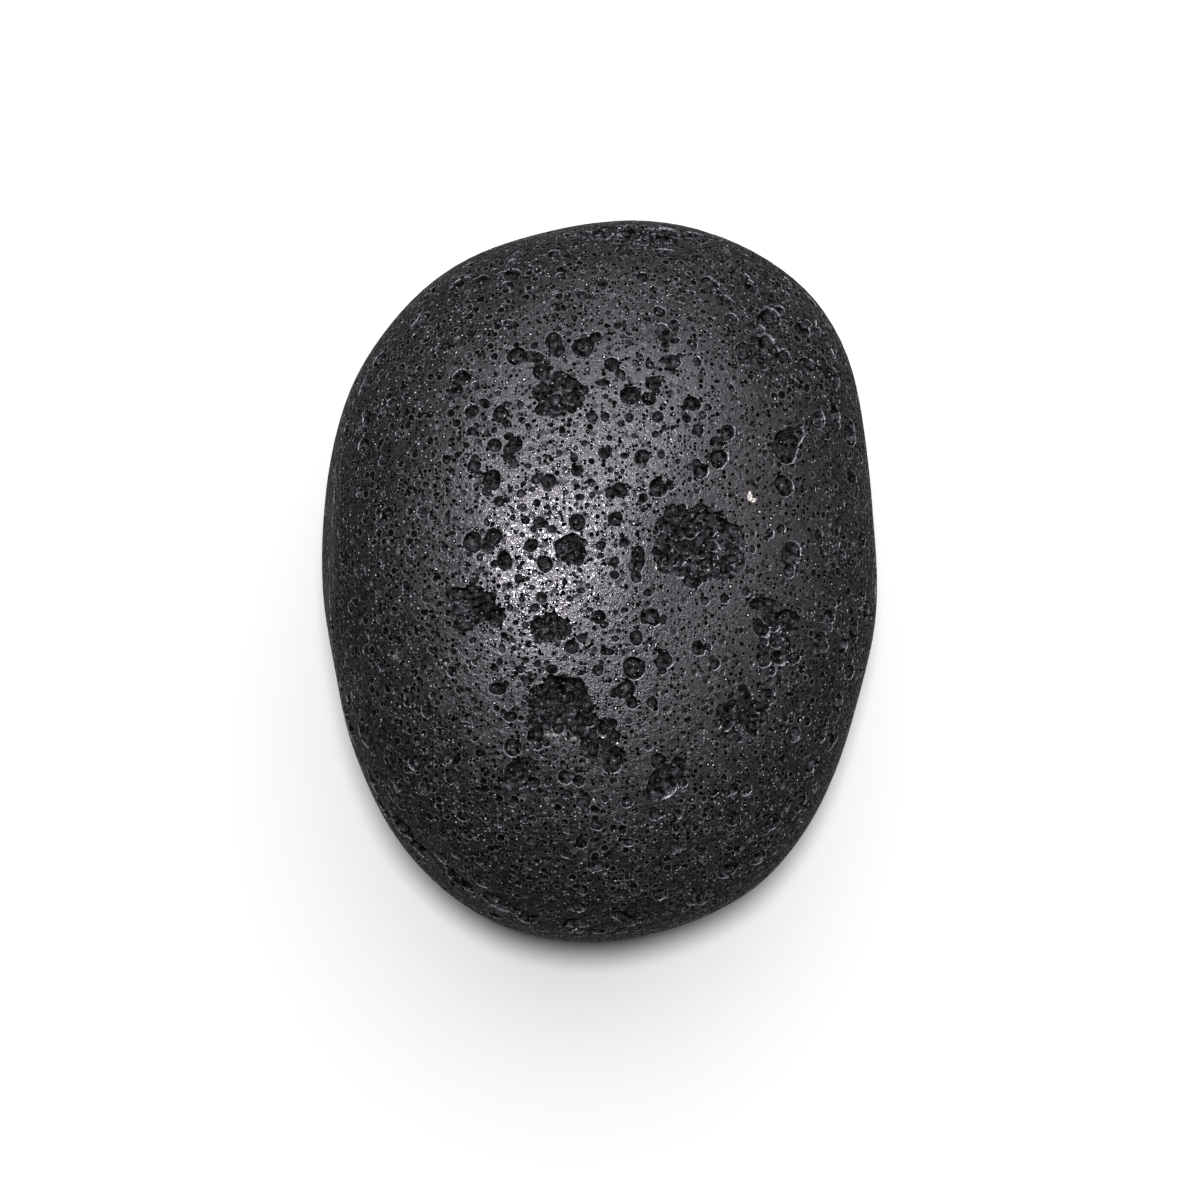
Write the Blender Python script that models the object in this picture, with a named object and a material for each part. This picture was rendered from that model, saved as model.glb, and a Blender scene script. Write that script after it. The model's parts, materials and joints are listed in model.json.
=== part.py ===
"""A palm-sized tumbled lava stone: one solid of dark, bubble-filled basalt.

The stone lies on its flattest side. +X is its width, +Y its length and +Z is up.
The origin is on the resting face, under the middle of the stone.
"""
import math
import random

import bmesh
import bpy
from mathutils import Matrix, Vector, noise
from mathutils.bvhtree import BVHTree

MM = 0.001

# Overall size.
WIDTH = 50.0 * MM
LENGTH = 65.0 * MM
THICKNESS = 35.0 * MM

# Form of the body: a rounded egg with its widest section a little under half height. Its
# crown leans towards -X and -Y by these lengths.
BELLY_HEIGHT = 16.0 * MM
UNDERSIDE_TRIM = 0.8 * MM
ROUNDNESS = 2.15
CROWN_SHIFT = (5.0 * MM, 2.5 * MM)
SURFACE_CUTS = 9
CUT_TOLERANCE = 0.0001 * MM

# Swellings and dents of the outline, seen from above: the angle from +X towards +Y in
# degrees, the height in metres and the half width in degrees.
OUTLINE_SWELLS = (
    (52.0, 2.9 * MM, 17.0),
    (97.0, -0.7 * MM, 9.0),
    (135.0, 1.25 * MM, 18.0),
    (197.0, -0.3 * MM, 12.0),
    (243.0, 0.7 * MM, 12.0),
    (302.0, 0.4 * MM, 11.0),
    (336.0, -0.3 * MM, 10.0),
)

# Worn facets: heading from +X towards +Y and rise above the horizon in degrees, the
# distance from the core and the width over which the facet blends into the round form.
WORN_FACETS = (
    (50.0, 34.0, 28.2 * MM, 1.4 * MM),
    (83.0, 22.0, 30.9 * MM, 0.7 * MM),
    (177.0, 18.0, 24.4 * MM, 0.7 * MM),
    (232.0, 30.0, 28.0 * MM, 1.6 * MM),
    (318.0, -28.0, 26.1 * MM, 1.8 * MM),
    (110.0, -30.0, 28.1 * MM, 1.8 * MM),
    (205.0, -34.0, 23.6 * MM, 1.8 * MM),
    (6.0, 67.0, 20.0 * MM, 0.5 * MM),
)
FACET_REACH = 0.3

# Slow unevenness of the surface: height and wavelength of each layer.
UNEVENNESS = (
    (0.45 * MM, 21.0 * MM),
    (0.16 * MM, 8.0 * MM),
)

# Hollows on the upper face, where several bubbles burst into each other:
# x, y, width, length and depth, in millimetres.
HOLLOWS_MM = (
    (8.4, 3.2, 8.6, 6.6, 1.3),
    (-3.3, -10.7, 5.4, 4.5, 2.4),
    (0.0, -13.9, 3.2, 4.1, 1.5),
    (-3.4, 16.1, 4.3, 3.8, 1.2),
    (-10.6, -2.3, 5.0, 4.1, 1.3),
    (-4.1, -4.2, 3.5, 2.6, 1.3),
    (-2.5, 2.6, 2.8, 2.8, 1.4),
    (12.3, -12.2, 4.5, 4.3, 0.9),
    (15.3, -4.9, 4.0, 4.4, 0.8),
)

# Hollows low on the flanks: heading from +X towards +Y and rise above the core's horizon
# in degrees, then width, length and depth in millimetres.
FLANK_HOLLOWS_MM = (
    (24.0, -14.0, 4.6, 3.4, 1.2),
    (68.0, -22.0, 3.6, 3.0, 1.1),
    (112.0, -12.0, 5.2, 3.6, 1.3),
    (158.0, -26.0, 3.4, 3.0, 1.0),
    (206.0, -14.0, 4.2, 3.2, 1.2),
    (262.0, -16.0, 5.0, 3.8, 1.4),
    (318.0, -24.0, 3.8, 3.2, 1.1),
)

# Single large bubbles on the upper face: x, y, width, length and depth, in millimetres.
BUBBLES_MM = (
    (16.4, 11.8, 2.9, 2.9, 2.0),
    (5.6, -17.5, 2.9, 2.9, 0.9),
    (-7.1, -16.9, 2.5, 2.5, 1.0),
    (17.1, -6.8, 1.4, 1.0, 0.8),
    (14.7, -10.2, 1.5, 1.5, 1.2),
    (3.0, -7.6, 2.0, 2.0, 1.6),
    (0.0, -3.2, 1.1, 1.3, 1.0),
    (8.6, -5.9, 1.2, 1.4, 1.0),
    (-8.8, -9.4, 1.6, 1.1, 0.9),
    (-7.7, -11.8, 1.2, 1.0, 0.8),
    (16.8, 2.3, 2.2, 2.2, 0.7),
    (16.2, 8.3, 1.9, 1.9, 1.0),
    (19.3, 14.2, 1.7, 1.7, 0.7),
    (-4.0, 20.9, 1.7, 1.7, 1.2),
    (-1.4, 20.4, 2.0, 2.0, 1.4),
    (1.1, 18.8, 1.4, 1.4, 1.0),
    (-7.2, 19.6, 1.8, 1.8, 1.2),
    (2.7, 16.1, 1.8, 1.8, 1.3),
    (-12.0, 17.7, 1.6, 1.6, 1.0),
    (-8.6, 14.5, 1.5, 1.5, 1.0),
    (-9.3, 8.7, 1.5, 2.0, 1.1),
    (-11.0, 3.3, 1.8, 1.8, 1.1),
    (-9.2, 3.7, 1.6, 1.6, 1.1),
    (-8.2, 1.7, 1.3, 1.7, 1.2),
    (-4.7, 1.4, 1.4, 1.4, 1.0),
    (-1.9, 5.0, 1.5, 1.5, 1.0),
    (5.1, 8.0, 1.6, 1.6, 1.1),
    (8.1, 15.4, 1.5, 1.5, 1.0),
    (10.4, 10.6, 1.7, 1.6, 1.0),
    (3.4, 2.0, 1.3, 1.9, 1.1),
    (4.6, -3.2, 1.5, 1.5, 1.0),
    (5.6, -7.0, 1.5, 1.5, 1.0),
    (2.3, -9.5, 1.7, 1.7, 1.1),
    (19.5, -5.3, 1.6, 1.6, 0.9),
    (20.3, -3.2, 1.4, 1.4, 0.9),
    (-5.5, -13.4, 1.5, 1.5, 1.0),
    (-7.5, -14.5, 1.6, 1.6, 1.0),
    (1.1, -16.1, 1.5, 1.5, 1.0),
    (11.7, -20.9, 1.5, 1.5, 1.0),
    (19.7, -13.6, 1.5, 1.5, 0.9),
    (-22.0, -13.2, 0.9, 2.2, 1.0),
    (-17.6, -22.2, 1.3, 1.3, 1.0),
    (-9.3, -29.9, 1.7, 1.0, 0.9),
    (20.2, 18.6, 1.3, 1.5, 0.8),
)

# Bubbles scattered over the flanks and the underside. The crown has its own bubbles, and
# down to the belly only small ones are scattered.
SCATTER_SEED = 11
SCATTER_COUNT = 98
SCATTER_RADIUS = (0.5 * MM, 1.9 * MM)
SCATTER_FINENESS = 3.0
SCATTER_DEPTH = 1.1
SCATTER_CLEARANCE = 0.5 * MM
CROWN_EDGE = 0.66
BELLY_EDGE = -0.12
UPPER_LIMIT = 0.7 * MM
UNDERSIDE_EDGE = -0.78

# The narrowest opening that each fineness of cutter is used for.
CUTTER_FINENESS = (
    (6.0 * MM, 3),
    (2.1 * MM, 2),
    (0.0 * MM, 1),
)

# How far a bubble's centre lies under the surface, as a share of its height; hollows
# shallower than HOLLOW_SHAPE times their width have it as far above the surface.
BUBBLE_SINK = 0.2
HOLLOW_SHAPE = 0.45
BUBBLE_DENT = 0.16
DENT_FREQUENCY = 1.7

STONE_COLOUR = (0.045, 0.043, 0.045, 1.0)
STONE_ROUGHNESS = 0.55


def clear_scene():
    """Remove every object of the scene."""
    for item in list(bpy.data.objects):
        bpy.data.objects.remove(item)


def angle_between(first, second):
    """Return the smaller angle between two headings, in degrees."""
    turn = abs(first - second) % 360.0
    return min(turn, 360.0 - turn)


def outline_radius(heading):
    """Return the radius of the widest section at a heading in degrees."""
    turn = math.radians(heading)
    half_width = WIDTH / 2.0
    half_length = LENGTH / 2.0
    across = half_length * math.cos(turn)
    along = half_width * math.sin(turn)
    radius = half_width * half_length / math.hypot(across, along)
    for centre, height, spread in OUTLINE_SWELLS:
        offset = angle_between(heading, centre) / spread
        radius += height * math.exp(-0.5 * offset * offset)
    return radius


def round_radius(direction):
    """Return the distance from the core to the plain egg form in a direction."""
    heading = math.degrees(math.atan2(direction.y, direction.x))
    level = math.hypot(direction.x, direction.y) / outline_radius(heading)
    crown = THICKNESS - BELLY_HEIGHT
    keel = BELLY_HEIGHT + UNDERSIDE_TRIM
    rise = abs(direction.z) / (crown if direction.z > 0.0 else keel)
    return (level ** ROUNDNESS + rise ** ROUNDNESS) ** (-1.0 / ROUNDNESS)


def facing(heading, rise):
    """Return the direction from the core with this heading and rise, both in degrees."""
    turn = math.radians(heading)
    lift = math.radians(rise)
    level = math.cos(lift)
    return Vector((level * math.cos(turn), level * math.sin(turn), math.sin(lift)))


def soft_minimum(first, second, blend):
    """Return the lower of two lengths, rounded over where they cross."""
    share = max(blend - abs(first - second), 0.0) / blend
    return min(first, second) - share * share * blend / 4.0


def facet_planes():
    """Return the outward direction, distance and blend of each worn facet."""
    planes = []
    for heading, rise, distance, blend in WORN_FACETS:
        planes.append((facing(heading, rise), distance, blend))
    return planes


def surface_radius(direction, planes):
    """Return the distance from the core to the worn, uneven surface."""
    radius = round_radius(direction)
    for height, wavelength in UNEVENNESS:
        radius += height * noise.noise(direction * (radius / wavelength))
    for outward, distance, blend in planes:
        slope = direction.dot(outward)
        if slope > FACET_REACH:
            radius = soft_minimum(radius, distance / slope, blend)
    return radius


def fit_to_size(body):
    """Scale and centre the body so that it has the stone's width, length and height."""
    xs = [vertex.co.x for vertex in body.verts]
    ys = [vertex.co.y for vertex in body.verts]
    top = max(vertex.co.z for vertex in body.verts)
    middle = Vector(((max(xs) + min(xs)) / 2.0, (max(ys) + min(ys)) / 2.0, 0.0))
    factor = Vector((WIDTH / (max(xs) - min(xs)), LENGTH / (max(ys) - min(ys)), THICKNESS / top))
    for vertex in body.verts:
        vertex.co = (vertex.co - middle) * factor


def cut_rest_face(body):
    """Trim the body at the ground and close it with one flat resting face."""
    geometry = body.verts[:] + body.edges[:] + body.faces[:]
    bmesh.ops.bisect_plane(body, geom=geometry, dist=CUT_TOLERANCE, plane_co=(0.0, 0.0, 0.0),
                           plane_no=(0.0, 0.0, 1.0), clear_inner=True)
    rim = [edge for edge in body.edges if edge.is_boundary]
    bmesh.ops.contextual_create(body, geom=rim)
    bmesh.ops.recalc_face_normals(body, faces=body.faces[:])


def stone_body():
    """Return the mesh of the stone before any bubble is opened."""
    planes = facet_planes()
    body = bmesh.new()
    bmesh.ops.create_icosphere(body, subdivisions=1, radius=1.0)
    bmesh.ops.subdivide_edges(body, edges=body.edges[:], cuts=SURFACE_CUTS, use_grid_fill=True)
    core = Vector((0.0, 0.0, BELLY_HEIGHT))
    for vertex in body.verts:
        direction = vertex.co.normalized()
        spot = direction * surface_radius(direction, planes)
        lift = max(spot.z, 0.0) / (THICKNESS - BELLY_HEIGHT)
        spot -= Vector((*CROWN_SHIFT, 0.0)) * (lift * lift)
        vertex.co = core + spot
    fit_to_size(body)
    cut_rest_face(body)
    return body


def surface_tree(stone):
    """Return a search tree over the faces of the stone."""
    corners = [vertex.co for vertex in stone.data.vertices]
    faces = [face.vertices for face in stone.data.polygons]
    return BVHTree.FromPolygons(corners, faces)


def drop_point(tree, x, y):
    """Return the surface point and outward direction straight below (x, y)."""
    start = Vector((x, y, 2.0 * THICKNESS))
    point, normal, _, _ = tree.ray_cast(start, Vector((0.0, 0.0, -1.0)))
    return point, normal


def facing_point(tree, direction):
    """Return the surface point and outward direction that face a direction from the core."""
    core = Vector((0.0, 0.0, BELLY_HEIGHT))
    start = core + direction * LENGTH
    point, normal, _, _ = tree.ray_cast(start, -direction)
    return point, normal


def cutter_fineness(opening):
    """Return how many times a cutter of this opening is subdivided."""
    return next(level for smallest, level in CUTTER_FINENESS if opening >= smallest)


def add_bubble(cutters, point, outward, width, length, depth):
    """Add one dented bubble that opens width by length at a point and reaches depth inwards."""
    sink = BUBBLE_SINK if depth > HOLLOW_SHAPE * min(width, length) else -BUBBLE_SINK
    spread = 1.0 / math.sqrt(1.0 - sink * sink)
    height = depth / (1.0 + sink)
    size = Vector((0.5 * width * spread, 0.5 * length * spread, height))
    across = Vector((0.0, 1.0, 0.0)).cross(outward).normalized()
    turn = Matrix((across, outward.cross(across), outward)).transposed()
    centre = point - outward * (sink * height)
    fineness = cutter_fineness(max(width, length))
    made = bmesh.ops.create_icosphere(cutters, subdivisions=fineness, radius=1.0)
    for vertex in made["verts"]:
        dent = 1.0 + BUBBLE_DENT * noise.noise(vertex.co * DENT_FREQUENCY + point / MM)
        vertex.co = centre + turn @ (vertex.co * size * dent)


def open_bubbles(stone, cutters, name):
    """Cut a set of bubbles out of the stone and keep the result as its mesh."""
    tool = bpy.data.objects.new(name, bpy.data.meshes.new(name))
    cutters.to_mesh(tool.data)
    cutters.free()
    bpy.context.scene.collection.objects.link(tool)
    cut = stone.modifiers.new(name, "BOOLEAN")
    cut.operation = "DIFFERENCE"
    cut.solver = "EXACT"
    cut.use_self = True
    cut.object = tool
    graph = bpy.context.evaluated_depsgraph_get()
    opened = bpy.data.meshes.new_from_object(stone.evaluated_get(graph))
    stone.modifiers.remove(cut)
    stone.data = opened
    bpy.data.objects.remove(tool)


def open_hollows(stone):
    """Open the wide hollows of the upper face and the flanks."""
    tree = surface_tree(stone)
    cutters = bmesh.new()
    for x, y, width, length, depth in HOLLOWS_MM:
        point, outward = drop_point(tree, x * MM, y * MM)
        add_bubble(cutters, point, outward, width * MM, length * MM, depth * MM)
    for heading, rise, width, length, depth in FLANK_HOLLOWS_MM:
        point, outward = facing_point(tree, facing(heading, rise))
        add_bubble(cutters, point, outward, width * MM, length * MM, depth * MM)
    open_bubbles(stone, cutters, "hollows")


def open_large_bubbles(stone):
    """Open the single large bubbles of the upper face."""
    tree = surface_tree(stone)
    cutters = bmesh.new()
    for x, y, width, length, depth in BUBBLES_MM:
        point, outward = drop_point(tree, x * MM, y * MM)
        add_bubble(cutters, point, outward, width * MM, length * MM, depth * MM)
    open_bubbles(stone, cutters, "large_bubbles")


def crown_place(x, y):
    """Return the place on the plain egg form above (x, y), from the core."""
    heading = math.degrees(math.atan2(y, x))
    level = min(math.hypot(x, y) / outline_radius(heading), 1.0)
    rise = (1.0 - level ** ROUNDNESS) ** (1.0 / ROUNDNESS)
    return Vector((x, y, (THICKNESS - BELLY_HEIGHT) * rise))


def placed_openings():
    """Return the place from the core and the reach of each hollow and bubble set by hand."""
    openings = []
    for x, y, width, length, _ in HOLLOWS_MM + BUBBLES_MM:
        openings.append((crown_place(x * MM, y * MM), 0.5 * max(width, length) * MM))
    for heading, rise, width, length, _ in FLANK_HOLLOWS_MM:
        direction = facing(heading, rise)
        reach = 0.5 * max(width, length) * MM
        openings.append((direction * round_radius(direction), reach))
    return openings


def scattered_bubbles():
    """Return the direction and radius of each scattered bubble, clear of all others."""
    source = random.Random(SCATTER_SEED)
    smallest, largest = SCATTER_RADIUS
    openings = placed_openings()
    bubbles = []
    while len(bubbles) < SCATTER_COUNT:
        direction = Vector([source.gauss(0.0, 1.0) for _ in range(3)]).normalized()
        radius = smallest + (largest - smallest) * source.random() ** SCATTER_FINENESS
        if direction.z > BELLY_EDGE:
            radius = min(radius, UPPER_LIMIT)
        place = direction * round_radius(direction)
        clear = all((place - other).length > reach + radius + SCATTER_CLEARANCE
                    for other, reach in openings)
        if clear and UNDERSIDE_EDGE < direction.z < CROWN_EDGE:
            openings.append((place, radius))
            bubbles.append((direction, radius))
    return bubbles


def open_scattered_bubbles(stone):
    """Open the scattered bubbles of the flanks and the underside."""
    tree = surface_tree(stone)
    cutters = bmesh.new()
    for direction, radius in scattered_bubbles():
        point, outward = facing_point(tree, direction)
        add_bubble(cutters, point, outward, 2.0 * radius, 2.0 * radius, SCATTER_DEPTH * radius)
    open_bubbles(stone, cutters, "scattered_bubbles")


def stone_material():
    """Return the dark satin basalt of the stone."""
    material = bpy.data.materials.new("basalt")
    material.use_nodes = True
    surface = material.node_tree.nodes["Principled BSDF"]
    surface.inputs["Base Color"].default_value = STONE_COLOUR
    surface.inputs["Roughness"].default_value = STONE_ROUGHNESS
    surface.inputs["Metallic"].default_value = 0.0
    material.diffuse_color = STONE_COLOUR
    return material


def build_stone():
    """Build the lava stone."""
    mesh = bpy.data.meshes.new("lava_stone")
    body = stone_body()
    body.to_mesh(mesh)
    body.free()
    stone = bpy.data.objects.new("lava_stone", mesh)
    bpy.context.scene.collection.objects.link(stone)
    open_hollows(stone)
    open_large_bubbles(stone)
    open_scattered_bubbles(stone)
    stone.data.materials.clear()
    stone.data.materials.append(stone_material())


clear_scene()
build_stone()
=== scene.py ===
"""Dress a palm-sized tumbled lava stone: dark, satin basalt full of opened gas bubbles.

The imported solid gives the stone's size, form and large bubbles. This script models the
same form finely, opens the large and the small bubbles in it, finishes the worn skin and
the raw bubble walls, and stands the stone in a plain white studio.
"""

import json
import logging
import math
import random
from collections.abc import Iterator
from dataclasses import dataclass, replace
from enum import Enum

import bpy
import numpy as np
from mathutils import Matrix, Quaternion, Vector, noise
from mathutils.bvhtree import BVHTree

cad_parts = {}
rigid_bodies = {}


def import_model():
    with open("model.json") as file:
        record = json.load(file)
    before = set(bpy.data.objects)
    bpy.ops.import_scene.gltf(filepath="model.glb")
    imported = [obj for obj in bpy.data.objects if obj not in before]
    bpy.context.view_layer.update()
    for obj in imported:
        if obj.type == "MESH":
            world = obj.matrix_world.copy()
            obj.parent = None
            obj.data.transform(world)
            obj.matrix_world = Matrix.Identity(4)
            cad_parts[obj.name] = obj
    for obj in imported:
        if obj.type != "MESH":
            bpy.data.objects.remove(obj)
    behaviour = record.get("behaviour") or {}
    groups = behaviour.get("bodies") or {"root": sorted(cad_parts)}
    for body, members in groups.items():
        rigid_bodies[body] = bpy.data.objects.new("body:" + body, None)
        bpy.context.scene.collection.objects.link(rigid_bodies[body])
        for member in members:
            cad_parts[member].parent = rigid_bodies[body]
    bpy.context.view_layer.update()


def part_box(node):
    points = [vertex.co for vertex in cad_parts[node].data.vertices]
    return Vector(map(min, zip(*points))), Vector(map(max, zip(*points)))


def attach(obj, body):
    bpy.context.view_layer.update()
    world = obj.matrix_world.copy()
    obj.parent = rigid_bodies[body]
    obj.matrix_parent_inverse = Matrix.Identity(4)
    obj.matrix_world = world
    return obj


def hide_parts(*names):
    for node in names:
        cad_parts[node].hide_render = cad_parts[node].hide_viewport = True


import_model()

log = logging.getLogger("lava_stone")

Rows = tuple[tuple[float, ...], ...]
Shares = tuple[tuple[str, float], ...]
Vector3 = tuple[float, float, float]
Colour = tuple[float, float, float, float]
Cell = tuple[int, int, int]
Socket = bpy.types.NodeSocket

MM = 0.001
NODE = "lava_stone"


def deselect_all() -> None:
    """Leave nothing selected."""
    bpy.ops.object.select_all(action="DESELECT")


def make_active(item: bpy.types.Object) -> None:
    """Select one object alone and make it the active one.

    Args:
        item: The object that the next operators act on.
    """
    deselect_all()
    item.select_set(True)
    bpy.context.view_layer.objects.active = item


def gathered(parts: bpy.types.bpy_prop_collection, name: str, width: int,
             kind: type) -> np.ndarray:
    """Return one property of all of a mesh's parts.

    Args:
        parts: The mesh's vertices, normals, loops or faces.
        name: The property's name.
        width: How many values it has in each part.
        kind: The values' type.

    Returns:
        The values, in rows where each part has more than one.
    """
    values = np.empty(len(parts) * width, kind)
    parts.foreach_get(name, values)
    return values.reshape(-1, width) if width > 1 else values


def cell_of(spot: Vector, size: float) -> Cell:
    """Return the cell of a grid that a spot lies in."""
    return tuple(math.floor(value / size) for value in spot)


def cells_around(home: Cell, steps: int) -> Iterator[Cell]:
    """Give each cell of a grid within some steps of one.

    Args:
        home: The cell in the middle.
        steps: How far to go each way.

    Yields:
        The cells.
    """
    span = range(-steps, steps + 1)
    for x in span:
        for y in span:
            for z in span:
                yield home[0] + x, home[1] + y, home[2] + z


def heading_gap(first: float, second: float) -> float:
    """Return the smaller angle between two headings.

    Args:
        first: A heading in degrees.
        second: Another heading in degrees.

    Returns:
        The angle between them, in degrees.
    """
    turn = abs(first - second) % 360.0
    return min(turn, 360.0 - turn)


def facing(heading: float, rise: float) -> Vector:
    """Return the direction from the core with a heading and a rise.

    Args:
        heading: The angle from +X towards +Y, in degrees.
        rise: The angle above the core's horizon, in degrees.

    Returns:
        The unit direction.
    """
    turn = math.radians(heading)
    lift = math.radians(rise)
    level = math.cos(lift)
    return Vector((level * math.cos(turn), level * math.sin(turn), math.sin(lift)))


def soft_minimum(first: float, second: float, blend: float) -> float:
    """Return the lower of two lengths, rounded over where they cross.

    Args:
        first: A length.
        second: Another length.
        blend: The width over which one gives way to the other.

    Returns:
        The blended length.
    """
    share = max(blend - abs(first - second), 0.0) / blend
    return min(first, second) - share * share * blend / 4.0


class Opening(Enum):
    """How deep a bubble goes, as a share of half its opening."""

    DEEP = 1.9
    ROUND = 1.15
    WORN = 0.70


@dataclass(frozen=True)
class Swell:
    """A swelling or a dent of the stone's outline, seen from above."""

    heading: float
    height: float
    spread: float


@dataclass(frozen=True)
class Facet:
    """A worn facet: its direction, its distance from the core and its blend."""

    heading: float
    rise: float
    distance: float
    blend: float


@dataclass(frozen=True)
class Layer:
    """One layer of slow unevenness: its height and wavelength."""

    height: float
    wavelength: float


@dataclass(frozen=True)
class Bubble:
    """A gas bubble that the worn surface has opened."""

    place: Vector
    outward: Vector
    across: float
    along: float
    depth: float
    turn: float = 0.0

    @property
    def reach(self) -> float:
        """Return the radius of a ball that holds the bubble's cutter."""
        return max(self.across, self.along, self.depth) * BubbleCutter.LIP_REACH


@dataclass
class StoneForm:
    """The worn egg form of the stone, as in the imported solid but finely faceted."""

    belly_height: float = 16.0 * MM
    underside_trim: float = 0.8 * MM
    roundness: float = 2.15
    crown_shift: tuple[float, float] = (5.0 * MM, 2.5 * MM)
    cuts: int = 27
    rest_blend: float = 0.5 * MM
    facet_reach: float = 0.3
    swells: tuple[Swell, ...] = (
        Swell(52.0, 2.9 * MM, 17.0),
        Swell(97.0, -0.7 * MM, 9.0),
        Swell(135.0, 1.25 * MM, 18.0),
        Swell(197.0, -0.3 * MM, 12.0),
        Swell(243.0, 0.7 * MM, 12.0),
        Swell(302.0, 0.4 * MM, 11.0),
        Swell(336.0, -0.3 * MM, 10.0),
    )
    facets: tuple[Facet, ...] = (
        Facet(50.0, 34.0, 28.2 * MM, 1.4 * MM),
        Facet(83.0, 22.0, 30.9 * MM, 0.7 * MM),
        Facet(177.0, 18.0, 24.4 * MM, 0.7 * MM),
        Facet(232.0, 30.0, 28.0 * MM, 1.6 * MM),
        Facet(318.0, -28.0, 26.1 * MM, 1.8 * MM),
        Facet(110.0, -30.0, 28.1 * MM, 1.8 * MM),
        Facet(205.0, -34.0, 23.6 * MM, 1.8 * MM),
        Facet(6.0, 67.0, 20.0 * MM, 0.5 * MM),
    )
    layers: tuple[Layer, ...] = (
        Layer(0.45 * MM, 21.0 * MM),
        Layer(0.16 * MM, 8.0 * MM),
    )

    def __post_init__(self) -> None:
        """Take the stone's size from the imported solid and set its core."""
        low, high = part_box(NODE)
        self.width, self.length, self.thickness = high - low
        self.core = Vector((0.0, 0.0, self.belly_height))
        self.planes = [(facing(f.heading, f.rise), f.distance, f.blend) for f in self.facets]
        self.tree: BVHTree | None = None
        self.spots: np.ndarray | None = None
        self.normals: np.ndarray | None = None
        self.faces: np.ndarray | None = None

    def outline_radius(self, heading: float) -> float:
        """Return the radius of the widest section at a heading in degrees.

        Args:
            heading: The angle from +X towards +Y.

        Returns:
            The radius, from the middle of the stone.
        """
        turn = math.radians(heading)
        half_width = self.width / 2.0
        half_length = self.length / 2.0
        across = half_length * math.cos(turn)
        along = half_width * math.sin(turn)
        radius = half_width * half_length / math.hypot(across, along)
        for swell in self.swells:
            offset = heading_gap(heading, swell.heading) / swell.spread
            radius += swell.height * math.exp(-0.5 * offset * offset)
        return radius

    def round_radius(self, direction: Vector) -> float:
        """Return the distance from the core to the plain egg form in a direction.

        Args:
            direction: The unit direction from the core.

        Returns:
            The distance.
        """
        heading = math.degrees(math.atan2(direction.y, direction.x))
        level = math.hypot(direction.x, direction.y) / self.outline_radius(heading)
        crown = self.thickness - self.belly_height
        keel = self.belly_height + self.underside_trim
        rise = abs(direction.z) / (crown if direction.z > 0.0 else keel)
        return (level ** self.roundness + rise ** self.roundness) ** (-1.0 / self.roundness)

    def radius(self, direction: Vector) -> float:
        """Return the distance from the core to the worn, uneven surface.

        Args:
            direction: The unit direction from the core.

        Returns:
            The distance.
        """
        radius = self.round_radius(direction)
        for layer in self.layers:
            radius += layer.height * noise.noise(direction * (radius / layer.wavelength))
        for outward, distance, blend in self.planes:
            slope = direction.dot(outward)
            if slope > self.facet_reach:
                radius = soft_minimum(radius, distance / slope, blend)
        return radius

    def crown_place(self, x: float, y: float) -> Vector:
        """Return the place on the plain egg form above (x, y), from the core.

        Args:
            x: The place across the stone.
            y: The place along the stone.

        Returns:
            The place.
        """
        heading = math.degrees(math.atan2(y, x))
        level = min(math.hypot(x, y) / self.outline_radius(heading), 1.0)
        rise = (1.0 - level ** self.roundness) ** (1.0 / self.roundness)
        return Vector((x, y, (self.thickness - self.belly_height) * rise))

    def build(self) -> bpy.types.Object:
        """Model the closed form of the stone, before any bubble is opened.

        Returns:
            The stone's object, at the origin.
        """
        deselect_all()
        bpy.ops.mesh.primitive_ico_sphere_add(subdivisions=1, radius=1.0)
        stone = bpy.context.object
        stone.name = "vesicular_stone"
        bpy.ops.object.mode_set(mode="EDIT")
        bpy.ops.mesh.select_all(action="SELECT")
        bpy.ops.mesh.subdivide(number_cuts=self.cuts)
        bpy.ops.object.mode_set(mode="OBJECT")
        directions = [vertex.co.normalized() for vertex in stone.data.vertices]
        spots = np.array([direction * self.radius(direction) for direction in directions])
        lift = np.clip(spots[:, 2], 0.0, None) / (self.thickness - self.belly_height)
        spots[:, :2] -= np.array(self.crown_shift) * (lift * lift)[:, None]
        middle = (spots.max(0) + spots.min(0)) / 2.0
        extent = spots.max(0) - spots.min(0)
        spots[:, :2] = (spots[:, :2] - middle[:2]) * (self.width, self.length) / extent[:2]
        spots[:, 2] += self.belly_height
        spots[:, 2] *= self.thickness / spots[:, 2].max()
        spots[:, 2] = self._rested(spots[:, 2])
        stone.data.vertices.foreach_set("co", spots.astype(np.float32).ravel())
        stone.data.update()
        self._keep_guide(stone)
        return stone

    def _rested(self, heights: np.ndarray) -> np.ndarray:
        """Return the heights with all below the ground worn flat, with a soft edge."""
        share = np.clip(self.rest_blend - np.abs(heights), 0.0, None) / self.rest_blend
        return np.maximum(heights, 0.0) + share * share * self.rest_blend / 4.0

    def _keep_guide(self, stone: bpy.types.Object) -> None:
        """Keep the closed form's faces and smooth normals, to place and shade bubbles by.

        Args:
            stone: The closed form.
        """
        mesh = stone.data
        self.spots = gathered(mesh.vertices, "co", 3, np.float32)
        self.normals = gathered(mesh.vertex_normals, "vector", 3, np.float32)
        self.faces = gathered(mesh.polygons, "vertices", 3, np.int32)
        self.tree = BVHTree.FromPolygons(self.spots.tolist(), self.faces.tolist())

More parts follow.
